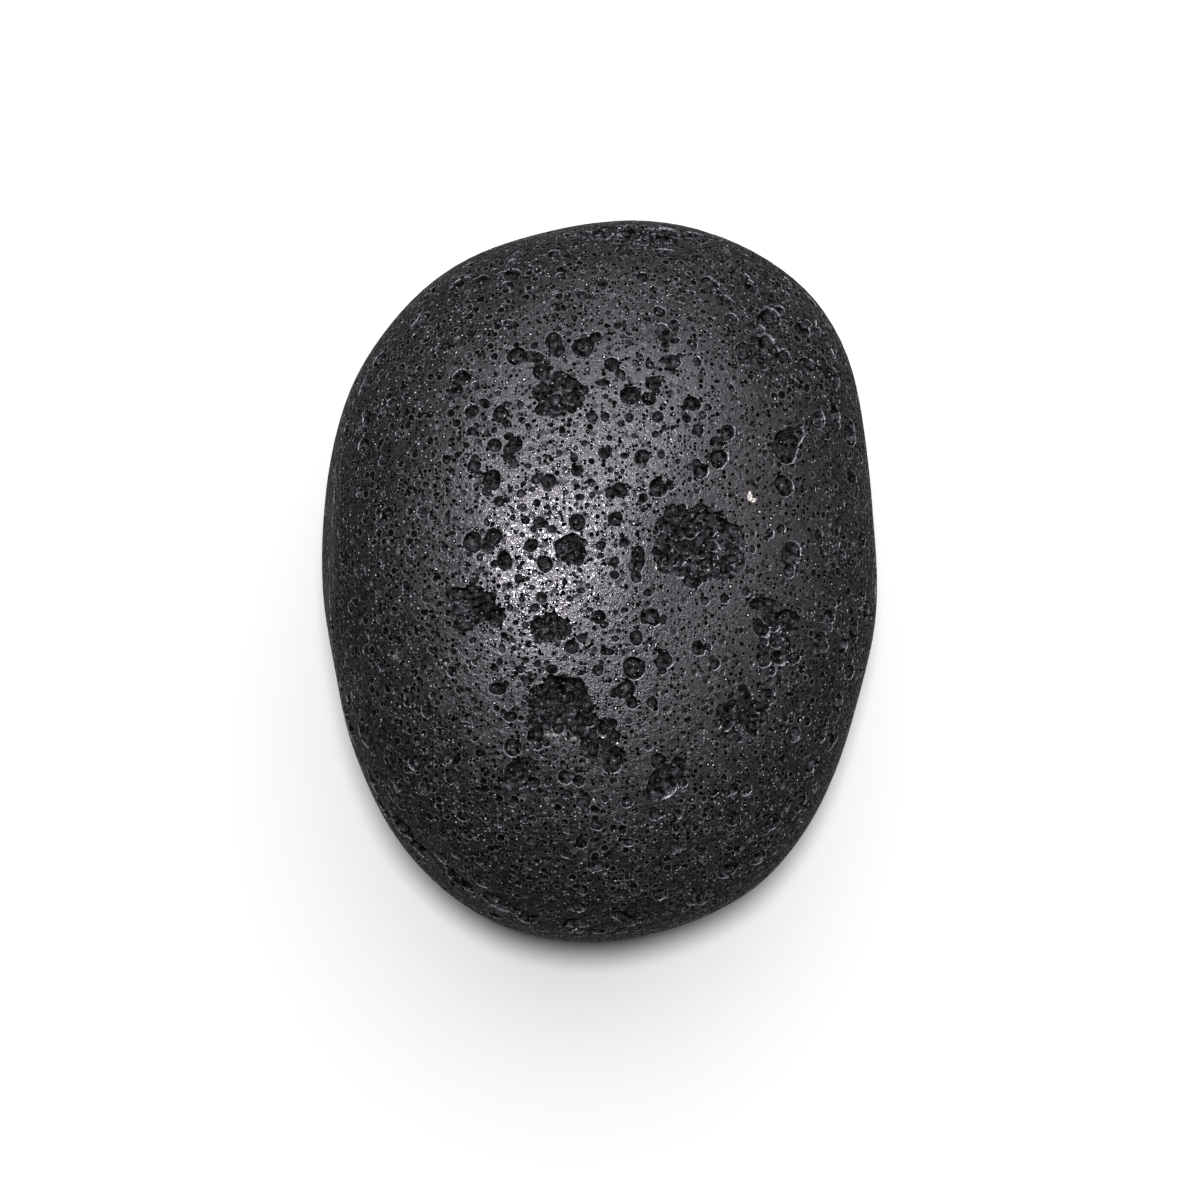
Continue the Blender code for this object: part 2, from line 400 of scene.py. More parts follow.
    def smooth_normal(self, spot: Vector) -> Vector:
        """Return the closed form's smooth normal nearest to a spot.

        Args:
            spot: A spot on or near the stone.

        Returns:
            The unit normal.
        """
        nearest, _, index, _ = self.tree.find_nearest(spot)
        corners = self.faces[index]
        a, b, c = (Vector(self.spots[corner]) for corner in corners)
        area = (b - a).cross(c - a).length
        share_a = (b - nearest).cross(c - nearest).length / area
        share_b = (c - nearest).cross(a - nearest).length / area
        shares = (share_a, share_b, max(1.0 - share_a - share_b, 0.0))
        normal = sum((Vector(self.normals[corner]) * share
                      for corner, share in zip(corners, shares)), Vector())
        return normal.normalized()


@dataclass(frozen=True)
class Grade:
    """How finely bubbles up to a size are modelled."""

    largest: float
    sides: int
    rings: int
    rim_wear: float


class BubbleCutter:
    """The closed shape that opens bubbles of one grade, modelled once and copied."""

    LIP_REACH = 1.45
    LIP_HEIGHT = 0.35
    SHARP_LIP = 0.2
    WOBBLE = (0.10, 0.06, 0.035)
    WOBBLE_SHARE = (0.3, 1.0)
    JAG = 0.03
    FLOOR_JAG = 0.07
    EVEN_RINGS = 3
    ALONG_Y = 0.95

    def __init__(self, grade: Grade) -> None:
        """Model the plain ball that every bubble of the grade is shaped from.

        Args:
            grade: How finely the bubbles are modelled.
        """
        self.grade = grade
        deselect_all()
        bpy.ops.mesh.primitive_uv_sphere_add(segments=grade.sides, ring_count=grade.rings + 2)
        ball = bpy.context.object
        spots = np.array([vertex.co[:] for vertex in ball.data.vertices])
        self.turns = np.arctan2(spots[:, 1], spots[:, 0])
        tilt = np.arccos(np.clip(spots[:, 2], -1.0, 1.0)) / math.pi
        self.ring = np.rint(tilt * (grade.rings + 2)).astype(int)
        self.faces = [tuple(face.vertices) for face in ball.data.polygons]
        self.slots = [2 if self.ring[list(face)].min() == 1 else 1 for face in self.faces]
        bpy.data.objects.remove(ball)

    def profile(self, bubble: Bubble) -> tuple[np.ndarray, np.ndarray]:
        """Return the radius and height of each ring, for half an opening of one.

        Args:
            bubble: The bubble to shape.

        Returns:
            The rings' radii and their heights, from the lip down to the floor.
        """
        wear = self.grade.rim_wear
        half = 0.5 * (bubble.across + bubble.along)
        deep = bubble.depth / half
        ball = (deep * deep + 1.0) / (2.0 * deep)
        centre = deep - ball
        widest = math.pi - math.asin(1.0 / ball) if deep > 1.0 else math.asin(1.0 / ball)
        angles = widest * (1.0 - np.arange(self.grade.rings + 1) / self.grade.rings)
        radii = ball * np.sin(angles)
        heights = -centre - ball * np.cos(angles)
        heights[0] -= wear
        lip = 1.0 + wear + self.LIP_HEIGHT * (1.0 if wear else self.SHARP_LIP)
        radii = np.concatenate(([0.0, lip], radii))
        heights = np.concatenate(([self.LIP_HEIGHT, self.LIP_HEIGHT], heights))
        return radii, heights

    def shaped(self, bubble: Bubble, source: random.Random) -> np.ndarray:
        """Return the corners of the cutter for one bubble, a little out of round.

        Args:
            bubble: The bubble to open.
            source: The random numbers that dent it.

        Returns:
            The corners' places.
        """
        radii, heights = self.profile(bubble)
        half = 0.5 * (bubble.across + bubble.along)
        dent = np.ones_like(self.turns)
        for lobes, amount in enumerate(self.WOBBLE, start=2):
            phase = source.uniform(0.0, 2.0 * math.pi)
            share = source.uniform(*self.WOBBLE_SHARE)
            dent += share * amount * np.cos(lobes * self.turns + phase)
        jags = [source.uniform(-self.JAG, self.JAG) for _ in range(self.grade.sides)]
        segment = np.rint(self.turns / (2.0 * math.pi) * self.grade.sides).astype(int)
        dent += np.array(jags)[segment % self.grade.sides]
        rough = np.array([source.uniform(-self.FLOOR_JAG, self.FLOOR_JAG) for _ in self.ring])
        rough[self.ring < self.EVEN_RINGS] = 0.0
        radius = radii[self.ring] * dent * (1.0 + rough)
        local = np.stack((radius * np.cos(self.turns) * bubble.across,
                          radius * np.sin(self.turns) * bubble.along,
                          heights[self.ring] * half * (1.0 + rough)), axis=1)
        ahead = Vector((0.0, 1.0, 0.0))
        if abs(bubble.outward.y) > self.ALONG_Y:
            ahead = Vector((0.0, 0.0, 1.0))
        across = ahead.cross(bubble.outward).normalized()
        basis = Matrix((across, bubble.outward.cross(across), bubble.outward))
        if bubble.turn:
            basis = basis @ Quaternion(bubble.outward, bubble.turn).to_matrix()
        return local @ np.array(basis) + np.array(bubble.place)


class Carver:
    """Opens sets of bubbles in the stone by Boolean cuts."""

    GRADES = (
        Grade(0.24 * MM, 6, 1, 0.0),
        Grade(0.34 * MM, 7, 2, 0.16),
        Grade(0.55 * MM, 8, 2, 0.15),
        Grade(0.90 * MM, 11, 3, 0.14),
        Grade(9.00 * MM, 16, 4, 0.11),
    )
    CELL = 2.0 * MM
    MOST_PASSES = 14

    def __init__(self, stone: bpy.types.Object, seed: int) -> None:
        """Ready the cutters.

        Args:
            stone: The object to cut.
            seed: The seed of the bubbles' dents.
        """
        self.stone = stone
        self.source = random.Random(seed)
        self.cutters = [BubbleCutter(grade) for grade in self.GRADES]

    def cutter_for(self, bubble: Bubble) -> BubbleCutter:
        """Return the cutter of the grade that a bubble belongs to."""
        half = max(bubble.across, bubble.along)
        return next(cutter for cutter in self.cutters if half <= cutter.grade.largest)

    def tree(self) -> BVHTree:
        """Return a search tree over the stone as it is cut so far."""
        mesh = self.stone.data
        spots = gathered(mesh.vertices, "co", 3, np.float32)
        faces = [tuple(face.vertices) for face in mesh.polygons]
        return BVHTree.FromPolygons(spots.tolist(), faces)

    def passes(self, bubbles: list[Bubble]) -> list[list[Bubble]]:
        """Sort bubbles into passes in which no two cutters touch.

        Args:
            bubbles: All the bubbles, in order of importance.

        Returns:
            The bubbles of each pass.
        """
        passes: list[list[Bubble]] = []
        cells: list[dict[Cell, list[Bubble]]] = []
        for bubble in bubbles:
            steps = math.ceil((bubble.reach + self.CELL) / self.CELL)
            home = cell_of(bubble.place, self.CELL)
            for index in range(self.MOST_PASSES):
                if index == len(passes):
                    passes.append([])
                    cells.append({})
                if self._is_clear(bubble, home, steps, cells[index]):
                    passes[index].append(bubble)
                    cells[index].setdefault(home, []).append(bubble)
                    break
        return passes

    @staticmethod
    def _is_clear(bubble: Bubble, home: Cell, steps: int,
                  cells: dict[Cell, list[Bubble]]) -> bool:
        """Return whether a bubble's cutter touches none of those in the cells around it.

        Args:
            bubble: The bubble to place.
            home: The cell that it lies in.
            steps: How many cells away others may touch it.
            cells: The bubbles already in the pass, by cell.

        Returns:
            Whether it is clear.
        """
        for cell in cells_around(home, steps):
            for other in cells.get(cell, ()):
                if (other.place - bubble.place).length < other.reach + bubble.reach:
                    return False
        return True

    def cut(self, corners: list[np.ndarray], faces: list[tuple[int, ...]],
            slots: list[int]) -> None:
        """Cut one set of closed shapes, none touching another, out of the stone.

        Args:
            corners: The corners of each shape.
            faces: The faces of them all, numbered through.
            slots: The material slot of each face.
        """
        mesh = bpy.data.meshes.new("bubble_cutters")
        mesh.from_pydata(np.concatenate(corners).tolist(), [], faces)
        for material in self.stone.data.materials:
            mesh.materials.append(material)
        mesh.polygons.foreach_set("material_index", slots)
        tool = bpy.data.objects.new("bubble_cutters", mesh)
        bpy.context.scene.collection.objects.link(tool)
        make_active(self.stone)
        opened = self.stone.modifiers.new("open_bubbles", "BOOLEAN")
        opened.operation = "DIFFERENCE"
        opened.solver = "MANIFOLD"
        opened.material_mode = "TRANSFER"
        opened.object = tool
        bpy.ops.object.modifier_apply(modifier=opened.name)
        bpy.data.objects.remove(tool)

    def open(self, bubbles: list[Bubble]) -> int:
        """Open bubbles in as many passes as their overlaps need.

        Args:
            bubbles: The bubbles, in order of importance.

        Returns:
            How many were opened.
        """
        opened = 0
        for group in self.passes(bubbles):
            corners: list[np.ndarray] = []
            faces: list[tuple[int, ...]] = []
            slots: list[int] = []
            start = 0
            for bubble in group:
                cutter = self.cutter_for(bubble)
                corners.append(cutter.shaped(bubble, self.source))
                faces.extend(tuple(start + corner for corner in face) for face in cutter.faces)
                slots.extend(cutter.slots)
                start += len(corners[-1])
            if corners:
                self.cut(corners, faces, slots)
                opened += len(group)
        return opened


@dataclass(frozen=True)
class Hollow:
    """A hollow where many bubbles burst into each other."""

    place: Vector
    outward: Vector
    width: float
    length: float
    depth: float


class HollowCutter:
    """The dented ball that sinks a hollow, finely faceted."""

    SINK = 0.2
    DEEP_SHAPE = 0.45
    DENT = (0.32, 1.8)
    RAGGED = (0.17, 4.2)

    def __init__(self, fineness: int) -> None:
        """Model the plain ball that hollows are shaped from.

        Args:
            fineness: How often the ball's faces are halved.
        """
        deselect_all()
        bpy.ops.mesh.primitive_ico_sphere_add(subdivisions=fineness, radius=1.0)
        ball = bpy.context.object
        self.spots = [vertex.co.copy() for vertex in ball.data.vertices]
        self.faces = [tuple(face.vertices) for face in ball.data.polygons]
        self.slots = [1] * len(self.faces)
        bpy.data.objects.remove(ball)

    def shaped(self, hollow: Hollow) -> np.ndarray:
        """Return the corners of the cutter for one hollow.

        Args:
            hollow: The hollow to sink.

        Returns:
            The corners' places.
        """
        deep = hollow.depth > self.DEEP_SHAPE * min(hollow.width, hollow.length)
        sink = self.SINK if deep else -self.SINK
        spread = 0.5 / math.sqrt(1.0 - sink * sink)
        height = hollow.depth / (1.0 + sink)
        size = Vector((hollow.width * spread, hollow.length * spread, height))
        across = Vector((0.0, 1.0, 0.0)).cross(hollow.outward).normalized()
        turn = Matrix((across, hollow.outward.cross(across), hollow.outward)).transposed()
        centre = hollow.place - hollow.outward * (sink * height)
        corners = []
        for spot in self.spots:
            dent = 1.0
            for amount, frequency in (self.DENT, self.RAGGED):
                dent += amount * noise.noise(spot * frequency + hollow.place / MM)
            corners.append(centre + turn @ (spot * size * dent))
        return np.array(corners)


@dataclass(frozen=True)
class Crowd:
    """A part of the surface where small bubbles crowd or thin out."""

    centre: Vector
    reach: float
    gain: float


@dataclass
class StoneBubbles:
    """Where the stone's hollows and bubbles lie; the rows are in millimetres and degrees."""

    # x, y, width, length and depth of the upper face's hollows.
    hollows: Rows = (
        (8.4, 3.2, 8.6, 6.6, 1.3),
        (-3.3, -10.7, 5.4, 4.5, 2.4),
        (0.0, -13.9, 3.2, 4.1, 1.5),
        (-3.4, 16.1, 4.3, 3.8, 1.2),
        (-10.8, -2.2, 4.2, 3.3, 1.2),
        (-4.1, -4.2, 3.5, 2.6, 1.3),
        (-2.5, 2.6, 2.8, 2.8, 1.4),
        (12.3, -12.2, 4.5, 4.3, 0.9),
        (15.3, -4.9, 4.0, 4.4, 0.8),
    )
    # Heading, rise, width, length and depth of the flanks' hollows.
    flank_hollows: Rows = (
        (24.0, -14.0, 4.6, 3.4, 1.2),
        (68.0, -22.0, 3.6, 3.0, 1.1),
        (112.0, -12.0, 5.2, 3.6, 1.3),
        (158.0, -26.0, 3.4, 3.0, 1.0),
        (206.0, -14.0, 4.2, 3.2, 1.2),
        (262.0, -16.0, 5.0, 3.8, 1.4),
        (318.0, -24.0, 3.8, 3.2, 1.1),
    )
    # x, y, width, length and depth of the upper face's large bubbles.
    large: Rows = (
        (16.4, 11.8, 2.9, 2.9, 2.0), (5.6, -17.5, 2.9, 2.9, 0.9), (-7.1, -16.9, 2.5, 2.5, 1.0),
        (17.1, -6.8, 1.4, 1.0, 0.8), (14.7, -10.2, 1.5, 1.5, 1.2), (3.0, -7.6, 2.0, 2.0, 1.6),
        (0.0, -3.2, 1.1, 1.3, 1.0), (8.6, -5.9, 1.2, 1.4, 1.0), (-8.8, -9.4, 1.6, 1.1, 0.9),
        (-7.7, -11.8, 1.2, 1.0, 0.8), (16.8, 2.3, 2.2, 2.2, 0.7), (16.2, 8.3, 1.9, 1.9, 1.0),
        (19.3, 14.2, 1.7, 1.7, 0.7), (-4.0, 20.9, 1.7, 1.7, 1.2), (-1.4, 20.4, 2.0, 2.0, 1.4),
        (1.1, 18.8, 1.4, 1.4, 1.0), (-7.2, 19.6, 1.8, 1.8, 1.2), (2.7, 16.1, 1.8, 1.8, 1.3),
        (-12.0, 17.7, 1.6, 1.6, 1.0), (-8.6, 14.5, 1.5, 1.5, 1.0), (-9.3, 8.7, 1.5, 2.0, 1.1),
        (-11.0, 3.3, 1.8, 1.8, 1.1), (-9.2, 3.7, 1.6, 1.6, 1.1), (-8.2, 1.7, 1.3, 1.7, 1.2),
        (-4.7, 1.4, 1.4, 1.4, 1.0), (-1.9, 5.0, 1.5, 1.5, 1.0), (5.1, 8.0, 1.6, 1.6, 1.1),
        (8.1, 15.4, 1.5, 1.5, 1.0), (10.4, 10.6, 1.7, 1.6, 1.0), (3.4, 2.0, 1.3, 1.9, 1.1),
        (4.6, -3.2, 1.5, 1.5, 1.0), (5.6, -7.0, 1.5, 1.5, 1.0), (2.3, -9.5, 1.7, 1.7, 1.1),
        (19.5, -5.3, 1.6, 1.6, 0.9), (20.3, -3.2, 1.4, 1.4, 0.9), (-5.5, -13.4, 1.5, 1.5, 1.0),
        (-7.5, -14.5, 1.6, 1.6, 1.0), (1.1, -16.1, 1.5, 1.5, 1.0),
        (11.7, -20.9, 1.5, 1.5, 1.0), (19.7, -13.6, 1.5, 1.5, 0.9),
        (-22.0, -13.2, 0.9, 2.2, 1.0), (-17.6, -22.2, 1.3, 1.3, 1.0),
        (-9.3, -29.9, 1.7, 1.0, 0.9), (20.2, 18.6, 1.3, 1.5, 0.8),
    )
    # x, y, width and length of the smaller ones: deep, round and worn shallow.
    deep: Rows = (
        (-2.6, 17.2, 1.4, 0.8), (-4.0, 15.8, 1.6, 1.6), (-4.9, 14.9, 1.4, 1.4),
        (7.3, 3.2, 1.3, 1.3), (11.6, 2.7, 1.4, 1.4), (14.1, -2.0, 1.2, 0.8),
        (-10.5, -2.4, 1.3, 1.8), (16.4, -3.2, 1.2, 0.9), (-2.0, -9.8, 2.0, 1.5),
    )
    round: Rows = (
        (14.0, 22.2, 1.1, 1.1), (-3.7, 20.1, 1.4, 1.4), (-5.4, 19.4, 1.1, 1.1),
        (4.4, 18.8, 0.9, 0.9), (-5.1, 18.2, 1.6, 1.6), (1.8, 18.0, 1.0, 1.0),
        (0.3, 17.2, 1.3, 0.7), (4.7, 17.2, 1.4, 1.4), (-12.5, 16.5, 1.3, 1.3),
        (-16.9, 16.1, 0.7, 0.7), (4.3, 15.8, 1.3, 1.3), (-6.9, 15.3, 0.7, 0.7),
        (9.5, 15.1, 0.7, 0.7), (-11.1, 14.7, 1.3, 1.3), (9.0, 14.4, 0.8, 0.8),
        (0.5, 14.2, 0.9, 0.9), (5.1, 14.2, 1.1, 1.1), (-10.0, 14.1, 0.5, 0.7),
        (-0.6, 14.1, 1.0, 1.0), (7.6, 14.1, 0.9, 0.9), (8.6, 13.1, 1.1, 1.1),
        (-11.1, 13.0, 0.9, 0.9), (10.2, 11.9, 1.3, 1.3), (-7.3, 11.8, 1.4, 1.4),
        (-9.1, 11.7, 1.3, 1.3), (0.4, 11.0, 1.1, 1.1), (2.2, 10.8, 0.8, 0.6),
        (-7.9, 10.7, 1.1, 1.1), (3.7, 10.7, 1.4, 1.4), (-2.2, 10.6, 0.7, 0.9),
        (-13.3, 10.5, 0.9, 0.9), (-7.4, 10.1, 0.9, 0.9), (-10.9, 9.9, 1.3, 1.3),
        (-6.2, 9.9, 0.7, 0.5), (-1.9, 9.5, 1.1, 1.1), (8.8, 9.5, 1.4, 1.4), (-5.5, 8.7, 0.9, 0.9),
        (-4.4, 8.6, 1.3, 1.3), (1.8, 7.8, 1.4, 1.4), (8.5, 7.7, 0.5, 0.5), (-6.8, 7.5, 0.8, 0.8),
        (-1.7, 7.2, 0.9, 0.6), (3.8, 7.1, 0.9, 0.9), (-8.7, 6.8, 1.0, 1.0), (-7.5, 5.4, 0.5, 0.6),
        (1.4, 5.3, 1.3, 1.3), (-6.4, 5.2, 0.8, 0.8), (-5.2, 5.0, 1.1, 1.1), (15.9, 4.5, 0.9, 0.9),
        (-4.1, 4.4, 0.8, 0.8), (14.9, 4.1, 0.9, 0.9), (2.2, 3.3, 0.9, 0.9), (-5.9, 3.0, 1.2, 1.2),
        (0.1, 3.0, 0.9, 0.9), (-13.4, 2.8, 0.7, 0.7), (1.3, 1.6, 0.9, 0.9), (3.2, 0.3, 1.1, 1.1),
        (-7.0, 0.1, 0.7, 0.9), (10.8, -0.2, 0.5, 0.7), (-1.6, -0.9, 0.8, 0.6),
        (12.8, -1.0, 0.9, 0.9), (4.2, -1.1, 0.8, 0.8), (-5.0, -1.5, 1.0, 1.0),
        (10.9, -1.6, 0.9, 0.9), (9.2, -1.8, 0.8, 0.8), (-5.6, -2.4, 0.8, 0.8),
        (-1.5, -5.0, 0.9, 0.9), (3.2, -5.0, 1.3, 1.3), (-2.4, -5.8, 1.3, 1.3),
        (-8.4, -5.9, 0.6, 0.9), (0.7, -6.2, 1.3, 0.7), (14.4, -7.0, 1.3, 1.3),
        (-6.8, -7.7, 0.9, 0.7), (-4.1, -7.7, 1.1, 0.9), (-0.1, -7.8, 1.1, 1.1),
        (15.1, -7.9, 0.9, 0.9), (-6.2, -8.7, 0.9, 0.9), (4.6, -10.6, 1.1, 1.1),
        (-11.3, -11.9, 0.9, 0.9), (16.2, -13.0, 0.9, 0.9), (-4.6, -14.1, 0.7, 0.7),
        (-10.4, -15.0, 0.8, 0.8), (-4.0, -15.4, 1.0, 0.7), (-3.0, -17.1, 1.3, 1.3),
        (-1.8, -17.4, 1.1, 1.1), (-4.4, -17.5, 0.9, 0.9), (11.8, -18.2, 1.1, 1.1),
        (12.9, -18.4, 1.1, 1.1), (-2.7, -18.6, 0.9, 0.9), (0.5, -19.0, 0.7, 0.7),
        (2.4, -19.3, 1.1, 1.1), (16.6, -20.0, 0.9, 0.9), (6.8, -20.4, 1.0, 1.0),
        (14.8, -23.5, 1.1, 1.1), (-0.3, -25.0, 1.3, 1.3),
    )
    worn: Rows = (
        (5.6, 29.2, 1.5, 1.1), (-7.3, 29.0, 0.7, 0.7), (-4.1, 29.0, 1.1, 1.1),
        (-3.3, 28.7, 0.9, 0.9), (-10.5, 26.8, 0.6, 0.5), (6.6, 22.5, 0.9, 0.9),
        (14.1, 22.2, 1.1, 1.1), (5.5, 22.0, 1.1, 1.1), (8.6, 19.1, 0.8, 1.0),
        (19.4, 18.7, 1.1, 1.1), (20.9, 18.0, 0.5, 0.9), (-18.9, 10.5, 1.1, 1.1),
        (-23.3, 8.8, 0.5, 0.7), (-15.4, 5.9, 1.1, 1.1), (19.3, 4.0, 1.1, 1.1),
        (21.5, 2.3, 0.9, 0.9), (20.5, -2.1, 1.3, 1.3), (18.6, -2.8, 0.7, 0.7),
        (-19.9, -4.8, 0.9, 0.9), (-16.5, -10.2, 1.1, 1.1), (-15.0, -11.4, 1.1, 1.1),
        (-20.9, -13.1, 0.6, 1.2), (-19.8, -17.7, 0.5, 0.8), (-7.6, -19.4, 0.7, 0.7),
        (-18.6, -20.9, 0.5, 0.8), (-15.2, -24.2, 1.0, 0.6), (-16.2, -24.8, 0.9, 1.0),
        (-13.1, -27.0, 0.8, 0.6),
    )
    # x, y, width, length and depth of the lobes that make the hollows' outlines uneven.
    lobes: Rows = (
        (-1.3, -12.6, 2.8, 2.4, 1.4), (1.2, -15.4, 2.2, 2.2, 1.1), (-5.3, -11.9, 1.9, 1.7, 1.0),
        (-12.3, -1.2, 1.8, 1.5, 0.9), (-8.9, -3.1, 1.6, 1.9, 1.0), (-11.8, -3.9, 1.8, 1.3, 0.8),
        (5.0, -18.3, 2.1, 1.8, 0.9), (6.7, -16.5, 1.8, 2.2, 0.8), (-7.8, -17.7, 1.9, 1.6, 0.8),
        (-6.2, -16.1, 1.6, 1.8, 0.8), (14.3, -2.0, 2.8, 1.2, 1.1), (16.5, -3.3, 2.5, 1.6, 1.3),
    )
    # Heading, rise, width, length and depth of the shallow dents above the widest section.
    edge_hollows: Rows = ((84.5, 9.0, 9.4, 4.6, 0.8), (54.0, 24.0, 4.4, 4.0, 0.4))
    # Heading, rise, width and depth of the bubbles just above the widest section.
    edge_bubbles: Rows = (
        (210.0, 15.0, 3.5, 1.9), (213.5, 23.0, 1.9, 1.1), (222.0, 16.0, 1.8, 1.0),
        (227.0, 13.0, 1.7, 1.0), (231.5, 16.0, 2.7, 1.5), (236.5, 14.0, 2.5, 1.3),
        (240.5, 18.0, 1.8, 1.1), (244.5, 14.0, 2.5, 1.3), (248.5, 19.0, 1.6, 0.9),
        (252.5, 15.0, 3.1, 1.9), (258.0, 13.0, 1.8, 1.0), (266.0, 14.0, 1.9, 1.1),
        (275.0, 15.0, 2.1, 1.2), (281.0, 19.0, 1.4, 0.9), (287.0, 14.0, 1.8, 1.1),
        (294.0, 17.0, 1.9, 1.1), (300.0, 14.0, 1.5, 1.0), (306.0, 18.0, 1.8, 1.1),
        (312.0, 14.0, 1.6, 1.0), (319.0, 17.0, 1.5, 1.0), (325.0, 14.0, 1.7, 1.0),
        (333.0, 16.0, 1.6, 1.0), (340.0, 14.0, 1.4, 0.9), (348.0, 16.0, 1.5, 0.9),
        (356.0, 14.0, 1.4, 0.9), (202.0, 17.0, 1.4, 0.9), (193.0, 14.0, 1.8, 1.1),
        (184.0, 16.0, 1.4, 0.9), (176.0, 14.0, 1.6, 1.0), (167.0, 16.0, 1.4, 0.9),
        (158.0, 14.0, 1.6, 1.0), (149.0, 17.0, 1.5, 0.9), (9.0, 13.0, 1.4, 0.9),
        (22.0, 15.0, 1.6, 1.0), (30.0, 13.0, 2.0, 1.2), (35.0, 17.0, 1.5, 1.0),
        (41.0, 14.0, 2.1, 1.2), (46.0, 18.0, 1.5, 0.9), (51.0, 13.0, 1.7, 1.1),
        (57.0, 16.0, 2.1, 1.2), (63.0, 13.0, 1.6, 1.0), (70.0, 18.0, 1.4, 0.9),
        (106.0, 18.0, 1.6, 1.0), (115.0, 15.0, 1.7, 1.0), (124.0, 18.0, 1.5, 0.9),
        (135.0, 16.0, 1.6, 1.0),
    )
    # The flanks' bubbles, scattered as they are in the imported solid.
    scatter_seed: int = 11
    scatter_count: int = 98
    scatter_radius: tuple[float, float] = (0.5 * MM, 1.9 * MM)
    scatter_fineness: float = 3.0
    scatter_depth: float = 1.1
    scatter_clearance: float = 0.5 * MM
    crown_edge: float = 0.66
    belly_edge: float = -0.12
    upper_limit: float = 0.7 * MM
    underside_edge: float = -0.78

    def placed_openings(self, form: StoneForm) -> list[tuple[Vector, float]]:
        """Return the place from the core and the reach of each listed large opening.

        Args:
            form: The stone's closed form.

        Returns:
            The places and the reaches.
        """
        openings = []
        for x, y, width, length, _ in self.hollows + self.large:
            openings.append((form.crown_place(x * MM, y * MM), 0.5 * max(width, length) * MM))
        for heading, rise, width, length, _ in self.flank_hollows:
            direction = facing(heading, rise)
            reach = 0.5 * max(width, length) * MM
            openings.append((direction * form.round_radius(direction), reach))
        return openings

    def scattered(self, form: StoneForm) -> list[tuple[Vector, float]]:
        """Return the direction and radius of each flank bubble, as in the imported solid.

        Args:
            form: The stone's closed form.

        Returns:
            The directions and the radii.
        """
        source = random.Random(self.scatter_seed)
        smallest, largest = self.scatter_radius
        openings = self.placed_openings(form)
        bubbles = []
        while len(bubbles) < self.scatter_count:
            direction = Vector([source.gauss(0.0, 1.0) for _ in range(3)]).normalized()
            radius = smallest + (largest - smallest) * source.random() ** self.scatter_fineness
            if direction.z > self.belly_edge:
                radius = min(radius, self.upper_limit)
            place = direction * form.round_radius(direction)
            clear = all((place - other).length > reach + radius + self.scatter_clearance
                        for other, reach in openings)
            if clear and self.underside_edge < direction.z < self.crown_edge:
                openings.append((place, radius))
                bubbles.append((direction, radius))
        return bubbles


class Patches:
    """The round patches of the surface that are taken, kept by cells for a quick search."""

    CELL = 1.2 * MM
    SPARE = 1.02

    def __init__(self) -> None:
        """Start with nothing taken."""
        self.cells: dict[Cell, list[tuple[Vector, float]]] = {}

    def take(self, spot: Vector, radius: float) -> None:
        """Mark a patch as taken."""
        for cell in cells_around(cell_of(spot, self.CELL), math.ceil(radius / self.CELL)):
            self.cells.setdefault(cell, []).append((spot, radius))

    def is_taken(self, spot: Vector, radius: float) -> bool:
        """Return whether a new patch would lie on one already taken."""
        return any((spot - other).length < self.SPARE * (radius + reach)
                   for other, reach in self.cells.get(cell_of(spot, self.CELL), ()))


